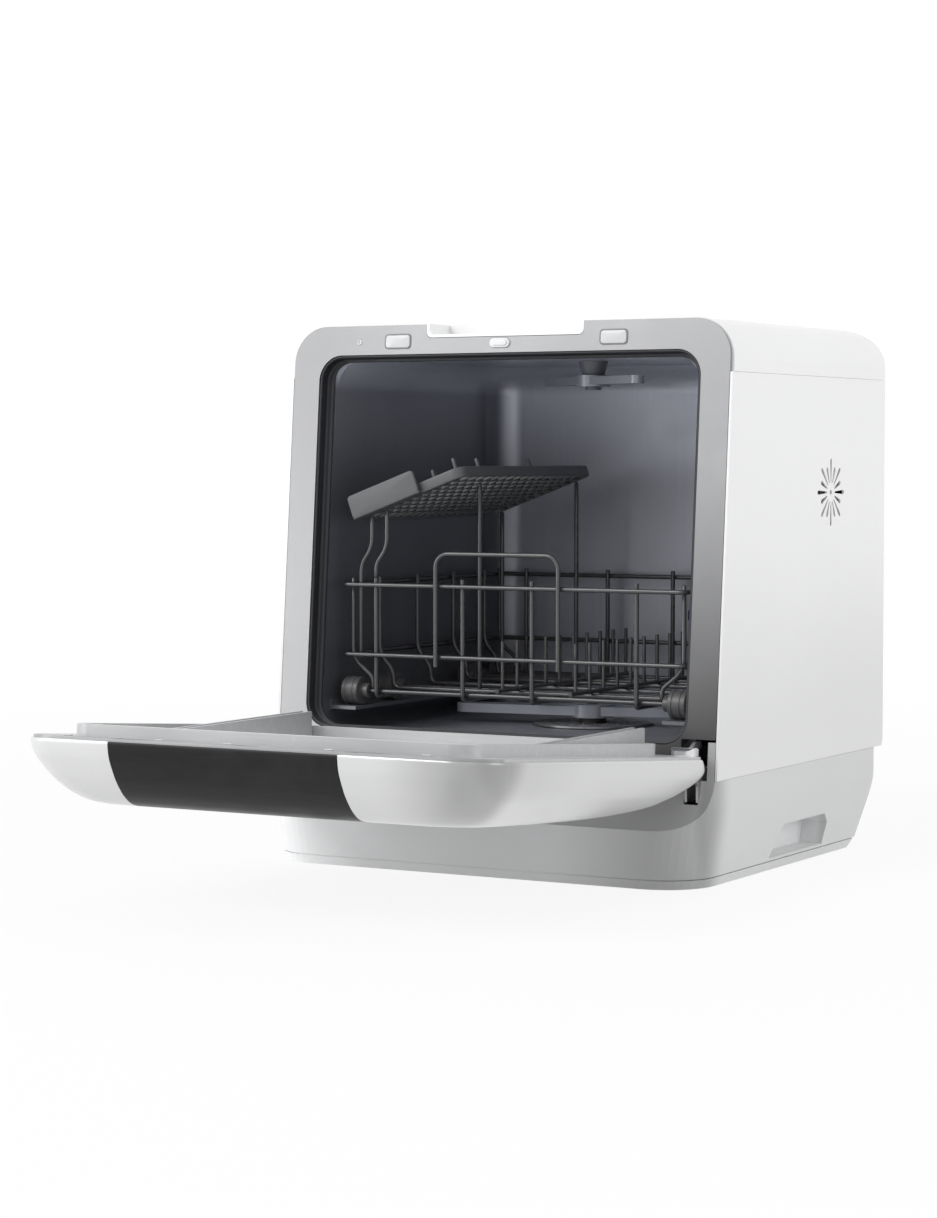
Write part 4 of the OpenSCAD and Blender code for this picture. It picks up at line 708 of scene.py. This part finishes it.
def blocksAt(origin, blocks):
    # soft blocks measured from a common place: low corner, high corner, corner radius and edge radius of each
    origin = np.array(origin, float)
    return [softBlock(origin + low, origin + high, corner, edge) for low, high, corner, edge in blocks]


# Floors of the two carrying grips in the base.
gripShape = dict(insideX=181, outsideX=201.5, front=-43, back=70, low=7.6, high=10.5, corner=1.6, edge=0.7)


def makeGripFloors():
    # a soft block on each side
    g = gripShape
    for name, side in (("Left", -1), ("Right", 1)):
        near, far = sorted((side * g["insideX"], side * g["outsideX"]))
        block = softBlock((near, g["front"], g["low"]), (far, g["back"], g["high"]), g["corner"], g["edge"])
        makeClosed("gripFloor" + name, [block], "housing", "baseGrey", "base_moulding", False)


makeCoves()
makeGripFloors()
print("tub corners and grip floors made")


def easedPath(path, radius, steps=6):
    # every corner becomes a parabola between points one radius before and after it
    path = np.asarray(path, float)
    before, corner, after = path[:-2], path[1:-1], path[2:]
    back, ahead = before - corner, after - corner
    backLength, aheadLength = [np.linalg.norm(v, axis=1)[:, None] for v in (back, ahead)]
    reach = np.minimum(radius, 0.48 * np.minimum(backLength, aheadLength))
    back, ahead = back / backLength, ahead / aheadLength
    t = np.linspace(0, 1, steps)[:, None, None]
    bend = (corner + back * reach) * (1 - t) ** 2 + 2 * corner * t * (1 - t) + (corner + ahead * reach) * t ** 2
    return np.vstack([path[:1], bend.transpose(1, 0, 2).reshape(-1, 3), path[-1:]])


def wireTube(path, radius, across=(0.0, 1.0, 0.0), sides=12):
    # a circle carried along a path that lies square to one direction, with domed ends
    way = np.gradient(path, axis=0)
    way /= np.linalg.norm(way, axis=1)[:, None]
    dome = np.radians([80.0, 50.0, 20.0])
    start = path[0] + way[0] * radius * (1 - np.sin(dome))[:, None]
    end = path[-1] - way[-1] * radius * (1 - np.sin(dome[::-1]))[:, None]
    centre = np.vstack([start, path[1:-1], end])
    size = radius * np.concatenate([np.cos(dome), np.ones(len(path) - 2), np.cos(dome[::-1])])[:, None, None]
    run = np.vstack([np.repeat(way[:1], 3, 0), way[1:-1], np.repeat(way[-1:], 3, 0)])
    across = np.array(across)
    side = np.cross(run, across)
    side /= np.linalg.norm(side, axis=1)[:, None]
    a = anglesOf(sides)[None, :, None]
    rings = centre[:, None, :] + size * (np.cos(a) * side[:, None, :] + np.sin(a) * across)
    return tippedGrid(rings, path[0], path[-1])


def straightWire(x, y, z, radius, across=(0.0, 1.0, 0.0), sides=12):
    # one of x, y and z is a row of values
    return wireTube(pointsOf(x, y, z), radius, across, sides)


def turnedShell(profile, sides):
    # rows of radius and height turned about the z axis; the first and the last row lie on it
    profile, t = np.array(profile), anglesOf(sides)
    r, height = profile[1:-1, :1], profile[1:-1, 1:]
    grid = pointsOf(r * np.cos(t), r * np.sin(t), height).reshape(len(r), sides, 3)
    return tippedGrid(grid, (0, 0, profile[0, 1]), (0, 0, profile[-1, 1]))


# Basket wires that kink: the cross wires, the tray's posts and legs, and the carriers of the axles' ends.
basketShape = dict(
    sideX=163, frontY=-125, wire=4, tipZ=241, lowRailZ=174.5, axleZ=142.5,
    crossYs=(-72.1, -7, 58, 116.75), endYs=(-116, 146), bend=9, step=14, axleIn=24,
    postXs=(-148, -133), postKink=11, kinkZs=(267, 253), trayGap=0.3, legXs=(12, 90))


def makeBasketWires():
    # each wire follows its corner points, with every corner eased into a bend
    b = basketShape
    x, wire, low, ys = b["sideX"] - b["wire"], b["wire"], b["lowRailZ"], b["crossYs"]
    kinked = lambda path: wireTube(easedPath(path, b["bend"]), wire / 2)
    crossing = []
    for y in ys:
        half = [(x, y, b["tipZ"]), (x, y, low - 3), (x - b["step"], y, low - 17), (x - b["step"], y, b["axleZ"])]
        crossing.append(kinked(half + [(-px, py, pz) for px, py, pz in half[::-1]]))
    makeClosed("crossWires", crossing, "basket", "wireCoat", "cross_wires")
    posts = []
    y, (high, middle) = b["frontY"] + wire, b["kinkZs"]
    for postX, foot in zip(b["postXs"], (low - wire, b["tipZ"])):
        kinkX, top = postX + b["postKink"], trayUnder(postX + 9) - b["trayGap"]
        posts.append(kinked([(kinkX, y, top), (kinkX, y, high), (postX, y, middle), (postX, y, foot)]))
    nearX, farX = b["legXs"]
    for legX, legY in ((nearX, ys[3] - wire), (farX, ys[3] - wire), (farX, ys[0] + wire)):
        top = trayUnder(trayShape["x"] + legX - wire / 2) - b["trayGap"]
        posts.append(straightWire(trayShape["x"] + legX, legY, np.linspace(b["axleZ"] - 1, top, 6), wire / 2))
    for side in (-1, 1):
        end = side * (b["sideX"] - b["axleIn"])
        for y in b["endYs"]:
            posts.append(kinked([(side * x, y, b["tipZ"]), (side * x, y, low - 4), (end, y, b["axleZ"] + wire + 8),
                                 (end, y, b["axleZ"] + wire / 2)]))
    makeClosed("basketPosts", posts, "basket", "wireCoat", "basket_posts")


# Cutlery tray: rounded rim, grip, ribbed floor and pins, all worked out flat and then tilted into place.
trayShape = dict(
    x=-150, y=-125, z=291, tilt=math.radians(20), width=112, length=243, height=9,
    rim=3.2, cornerRadius=11, gripLength=70, gripHeight=21,
    ribs=6.5 + 10 * np.arange(1, 10), crossRibs=8.1 + 13.4 * np.arange(1, 17),
    pinStart=(16.5, 21.5), pinSteps=(10, 13.4), pinRadius=1.7, pins=((8, 0), (8, 3), (8, 10), (5, 1), (5, 7)))


def trayUnder(x):
    # height of the tray's underside at x
    return trayShape["z"] + (x - trayShape["x"]) * math.tan(trayShape["tilt"])


def onTray(u, v, w):
    # turns a flat place on the tray up by its tilt and puts it in the basket
    c, s = math.cos(trayShape["tilt"]), math.sin(trayShape["tilt"])
    return pointsOf(trayShape["x"] + u * c - w * s, trayShape["y"] + v, trayShape["z"] + u * s + w * c)


def makeTray():
    # the rim is a rounded bar section run round the outline; ribs are flat soft blocks crossing each other
    t = trayShape
    a, width, length = anglesOf(20), t["width"], t["length"]
    inward = t["rim"] / 2 - t["rim"] / 2 * squashed(np.cos(a), 0.45)
    rise = t["height"] / 2 + (t["height"] / 2 + 0.2) * squashed(np.sin(a), 0.45)
    radius = t["cornerRadius"] - inward
    u, v = roundedLoop(width / 2 - inward, inward, length - inward, radius, radius, 9)
    shells = [(pointsOf(u + width / 2, v, rise[:, None]), [gridFaces(len(a), u.shape[1], True, True)]),
              softBlock((0, -6, 0), (t["gripLength"], 2.0, 2.6), 1.5, 0.6)]
    grip, gripFaces = softBlock((0, 0, 0), (t["gripLength"], t["gripHeight"], 3.6), 3.6, 1.3)
    shells.append((grip[:, [0, 2, 1]] + (0, -6.3, 0), gripFaces))
    for u in t["ribs"]:
        shells.append(softBlock((u - 1.5, 1.0, 0.3), (u + 1.5, length - 1.0, 2.5), 0.8, 0.5, 2))
    for v in t["crossRibs"]:
        shells.append(softBlock((1.0, v - 1.9, 0.0), (width - 1.0, v + 1.9, 2.2), 0.8, 0.5, 2))
    (startU, startV), (stepU, stepV) = t["pinStart"], t["pinSteps"]
    for i, j in t["pins"]:
        pin = (startU + i * stepU, startV + j * stepV, np.linspace(1.0, 22.0, 7))
        shells.append(straightWire(*pin, t["pinRadius"], sides=10))
    makeClosed("cutleryTray", carried(shells, onTray), "basket", "trayGrey", "cutlery_tray")


# Blue clips on the side wires and the cup shelf that hangs from them.
shelfShape = dict(
    wireX=159, hingeX=148, hingeZ=214, clipYs=(-72.1, 58), barDrops=(12, 30, 43),
    # low corner, high corner, corner radius and edge radius, from the wire and from the hinge
    clipBlocks=(((-5.5, -6.5, 3), (7, 6.5, 11), 3, 1.1), ((-5.5, -6.5, -15), (7, 6.5, -7.5), 3, 1.1),
                ((-4.5, -4.5, -14), (4.5, 4.5, 10), 2.5, 0.8), ((1, -3.6, -8), (7, 3.6, -0.4), 1.8, 1),
                ((-15, -6.5, -4), (-4, -2.5, 4), 1.5, 0.8)),
    shelfBlocks=(((-3, -2, -46), (3, 12, -3.2), 2, 0.9), ((-9, -2, -46), (1, 12, -40), 2.6, 1.2),
                 ((-6, 2, -43), (-1, 8, -22), 1.8, 1.4)))


def alongY(x, z, y0, y1, radius, sides=14):
    return straightWire(x, np.linspace(y0, y1, 6), z, radius, (1.0, 0.0, 0.0), sides)


def collar(x, z, y0, y1, inner, outer):
    # a soft rectangular section turned about an axis that runs along y
    a, t = anglesOf(16)[:, None], anglesOf(28)
    r = (inner + outer) / 2 + (outer - inner) / 2 * squashed(np.cos(a), 0.4)
    y = (y0 + y1) / 2 + (y1 - y0) / 2 * squashed(np.sin(a), 0.4)
    return pointsOf(x + r * np.cos(t), y, z + r * np.sin(t)), [gridFaces(16, 28, True, True)]


def makeClipsAndShelf():
    # clips are blocks on the wire, a pin and a hook for the rod; the shelf has two arms, feet and three bars
    c = shelfShape
    x, z, wireX = c["hingeX"], c["hingeZ"], c["wireX"]
    clips, shelf = [], []
    for y in c["clipYs"]:
        clips += blocksAt((wireX, y, z), c["clipBlocks"])
        clips += [alongY(x, z, y - 6.5, y + 12.5, 2.2), alongY(wireX - 1, z - 1, y + 2.0, y + 6.4, 3.4)]
        shelf.append(collar(x, z, y - 2, y + 12, 2.6, 4.7))
        shelf += blocksAt((x, y, z), c["shelfBlocks"])
    for drop in c["barDrops"]:
        shelf.append(alongY(x - 1, z - drop, c["clipYs"][0] + 11, c["clipYs"][1] - 1, 1.7, 10))
    makeClosed("wireClips", clips, "basket", "clipBlue", "shelf_clips")
    makeClosed("cupShelf", shelf, "cup_shelf", "clipBlue", "cup_shelf")


# Wheels: a turned barrel with a stepped face, a bore for the axle and eight short spokes.
wheelShape = dict(
    ys=(-116, -57.5, 87.5, 146), innerX=149, axleZ=142.5, sides=56, spokes=8,
    # radius and distance out along the axle
    profile=((0, 13.2), (2.2, 13.2), (2.2, -6.6), (2.6, -7), (6, -7), (6.5, -6.5), (6.5, -0.5), (6.9, 0),
             (11.5, 0), (12.2, 0.7), (12.2, 3.4), (11.7, 3.9), (11.7, 4.7), (12.2, 5.2), (12.2, 10.8),
             (11.7, 11.3), (11.7, 12.1), (12.2, 12.6), (12.2, 15.4), (11.7, 16), (11, 16), (10.6, 15.6),
             (10.5, 13.2), (8.7, 13.2), (8.6, 15), (8.3, 15.4), (7.6, 15.4), (7.3, 15), (7.2, 13.2),
             (5.3, 13.2), (5.2, 15.4), (4.8, 15.8), (3.5, 15.8), (3.2, 15.4), (3.1, 14.5), (0, 14.5)))


def makeWheels():
    # the profile is turned about the axle; spokes join the rings of the face
    w = wheelShape
    parts = [turnedShell(w["profile"], w["sides"])]
    for i in range(w["spokes"]):
        spoke, spokeFaces = softBlock((4.9, -0.8, 12.8), (11.0, 0.8, 15.2), 0.5, 0.35, 2)
        px, py, pz = spoke.T
        c, s = math.cos(math.radians(22.5 + 45 * i)), math.sin(math.radians(22.5 + 45 * i))
        parts.append((pointsOf(px * c - py * s, px * s + py * c, pz), spokeFaces))
    for i, (name, y) in enumerate(zip(wearers["wheelGrey"].split(), w["ys"]), 1):
        shells = [(pointsOf(side * (w["innerX"] + p[:, 2]), y + p[:, 1], w["axleZ"] - side * p[:, 0]), faces)
                  for side in (-1, 1) for p, faces in parts]
        makeClosed("wheelPair%d" % i, shells, "wheels_%d" % i, "wheelGrey", name, smoothAngle=30.0)


makeBasketWires()
makeTray()
makeClipsAndShelf()
makeWheels()
print("basket wires, tray, cup shelf and wheels made")

# Small pieces on the frame: pads that the door rests on, the catch and the sensor's dished window.
frontShape = dict(
    padXs=(-104, 102), padS=445.205, catchX=-4.5, catchS=442.205, sensorX=-142.5,
    # low corner, high corner, corner radius and edge radius
    border=((-13, -6.5, 0.01), (13, 6.5, 0.45), 3.4, 0.3), pad=((-11.9, -5.4, 0.02), (11.9, 5.4, 0.9), 2.8, 0.7),
    catch=(((-9.5, -4, -8), (9.5, 4, 1.6), 3.9, 0.8), ((-6.5, -2.6, 1), (7.5, 2.8, 2.5), 2.6, 0.9)),
    # radius and height of the sensor's dish
    dish=((0, -3.9), (2.4, -3.9), (2.4, 0.1), (2.3, 0.45), (2, 0.58), (1.7, 0.5), (1.5, 0.2), (1.1, -0.35),
          (0.6, -0.7), (0.25, -0.8), (0, -0.82)))


def makeFrontDetails():
    # pads are soft blocks in a lower border; the catch is one with a smaller crown; the dish is a turned profile
    f = frontShape
    for name, key, finish in (("padBorders", "border", "borderGrey"), ("doorPads", "pad", "lipBright")):
        shells = [block for x in f["padXs"] for block in blocksAt((x, f["padS"], 0), [f[key]])]
        makeClosed(name, carried(shells, onFront), "housing", finish, "door_buffers")
    catch = blocksAt((f["catchX"], f["catchS"], 0), f["catch"])
    makeClosed("catchButton", carried(catch, onFront), "catch", "pocketWhite", "door_catch")
    points, faces = turnedShell(f["dish"], 28)
    dish = (points + (f["sensorX"], f["padS"], 0), faces)
    makeClosed("sensorDish", carried([dish], onFront), "housing", "lensGrey", "sensor_window")


# Bead along the liner's lip, and low studs on the ledge in front of it.
lipShape = dict(
    halfWidth=177.5, low=119.3, high=429.705, radius=19, thick=3, top=-8,
    studXs=(-168, -83, -22, 66, 148), studS=440, studHalf=(4, 1.4), studHeight=1.2)


def makeLipBead():
    # half round of the lip's thickness, run round its outline
    p, a = lipShape, np.linspace(0, math.pi, 9)
    inward = np.concatenate([p["thick"] / 2 * (1 - 1.06 * np.cos(a)), [p["thick"] - 0.4, 0.4]])
    out = np.concatenate([p["top"] - 0.55 * np.sin(a), [p["top"] + 0.6, p["top"] + 0.6]])
    radius = p["radius"] - inward
    x, s = roundedLoop(p["halfWidth"] - inward, p["low"] + inward, p["high"] - inward, radius, radius, 14)
    bead = (onOpenDoor(x, s, out[:, None]), [gridFaces(len(out), x.shape[1], True, True)])
    makeClosed("lipBead", [bead], "door", "lipBright", "door_liner", False, 60.0)
    (halfX, halfS), high, studs = p["studHalf"], p["studHeight"], []
    for x in p["studXs"]:
        low, top = (x - halfX, p["studS"] - halfS, 0.2), (x + halfX, p["studS"] + halfS, high)
        stud, studFaces = softBlock(low, top, 1.3, 0.45)
        stud[:, 2] = high - stud[:, 2]
        studs.append((stud, studFaces))
    makeClosed("ledgeStuds", carried(studs, onOpenDoor), "door", "lipBright", "door_liner", False)


makeFrontDetails()
makeLipBead()
print("front details and lip bead made")

# Floor, backdrop, lights and camera.
studio = dict(
    floorRings=(0.6, 1.4, 2.2, 3.2), floorSides=96, floorDrop=0.3, floorColour=(0.82, 0.82, 0.82),
    floorRough=0.7, floorLift=0.88, skyLevel=0.62,
    # place, what it faces, width and watts
    keyLamp=((-1.5, -2.6, 2.2), (0, -0.1, 0.2), 1.8, 50), fillLamp=((3.2, 0.5, 1.2), (0.1, 0, 0.25), 2, 25),
    lowLamp=((-2.3, -2, 0.5), (-0.1, -0.2, 0.1), 1.6, 21), topLamp=((0.3, 0.2, 2.8), (0, 0, 0.3), 2.2, 8))


def seenBy(tree):
    # 1 where the camera, a reflection or glass looks, 0 for the light itself
    path = tree.nodes.new("ShaderNodeLightPath")
    seen = mathNode(tree, "ADD", path.outputs["Is Camera Ray"], path.outputs["Is Glossy Ray"], clamp=True)
    return mathNode(tree, "ADD", seen, path.outputs["Is Transmission Ray"], clamp=True)


def makeFloor():
    # a disc whose rim fades into the white behind it
    a, sides, drop = anglesOf(studio["floorSides"]), studio["floorSides"], -studio["floorDrop"]
    r = np.array(studio["floorRings"])[:, None] * 1000
    points = np.vstack([pointsOf(r * np.cos(a), r * np.sin(a), drop), [[0, 0, drop]]])
    floor = addMesh("studioFloor", points, [gridFaces(4, sides)[:, ::-1], fanFaces(np.arange(sides), 4 * sides)])
    finish = bpy.data.materials.new("floorWhite")
    finish.use_nodes = True
    tree = finish.node_tree
    shader = tree.nodes["Principled BSDF"]
    shader.inputs["Roughness"].default_value = studio["floorRough"]
    place = tree.nodes.new("ShaderNodeTexCoord").outputs["Object"]
    grain = noiseOf(tree, place, 300.0)
    tone = blendColours(tree, grain, studio["floorColour"], shadeOf(studio["floorColour"], 1.02))
    tree.links.new(tone, shader.inputs["Base Color"])
    length = addNode(tree, "ShaderNodeVectorMath", {"operation": "LENGTH"})
    tree.links.new(place, length.inputs[0])
    fade = rangeOf(tree, length.outputs["Value"], studio["floorLift"], 1.0, 0.45, 1.9)
    seen = seenBy(tree)
    glow = addNode(tree, "ShaderNodeEmission", Strength=1.0)
    mix = tree.nodes.new("ShaderNodeMixShader")
    for i, value in enumerate((mathNode(tree, "MULTIPLY", seen, fade), shader.outputs[0], glow.outputs[0])):
        tree.links.new(value, mix.inputs[i])
    tree.links.new(mix.outputs[0], tree.nodes["Material Output"].inputs["Surface"])
    floor.data.materials.append(finish)


def makeSky():
    # white behind the object, plain grey light on it
    world = bpy.data.worlds.new("studioSky")
    bpy.context.scene.world = world
    world.use_nodes = True
    ground = world.node_tree.nodes["Background"]
    level = rangeOf(world.node_tree, seenBy(world.node_tree), studio["skyLevel"], 1.0)
    world.node_tree.links.new(level, ground.inputs["Strength"])
    ground.inputs["Color"].default_value = (1.0, 1.0, 1.0, 1.0)


def addLamp(name, place, target, size, watts):
    lamp = bpy.data.lights.new(name, "AREA")
    lamp.shape, lamp.size, lamp.energy = "DISK", size, watts
    light = addObject(name, lamp)
    light.location = place
    x, y, z = np.array(target) - np.array(place)
    light.rotation_euler = (math.atan2(math.hypot(x, y), -z), 0.0, math.atan2(y, x) - quarter)


makeFloor()
makeSky()
for name in ("keyLamp", "fillLamp", "lowLamp", "topLamp"):
    addLamp(name, *studio[name])

view = dict(place=(1.2155, -2.3301, 0.3443), azimuth=29.634, dip=2.882, lens=88.52)
camera = addObject("studioCamera", bpy.data.cameras.new("studioCamera"))
camera.location = view["place"]
camera.rotation_euler = (math.radians(90 - view["dip"]), 0.0, math.radians(view["azimuth"]))
camera.data.lens, camera.data.sensor_width, camera.data.clip_end = view["lens"], 36.0, 60.0
bpy.context.scene.camera = camera
bpy.context.scene.view_settings.view_transform = "Standard"
print("floor, lights and camera set")
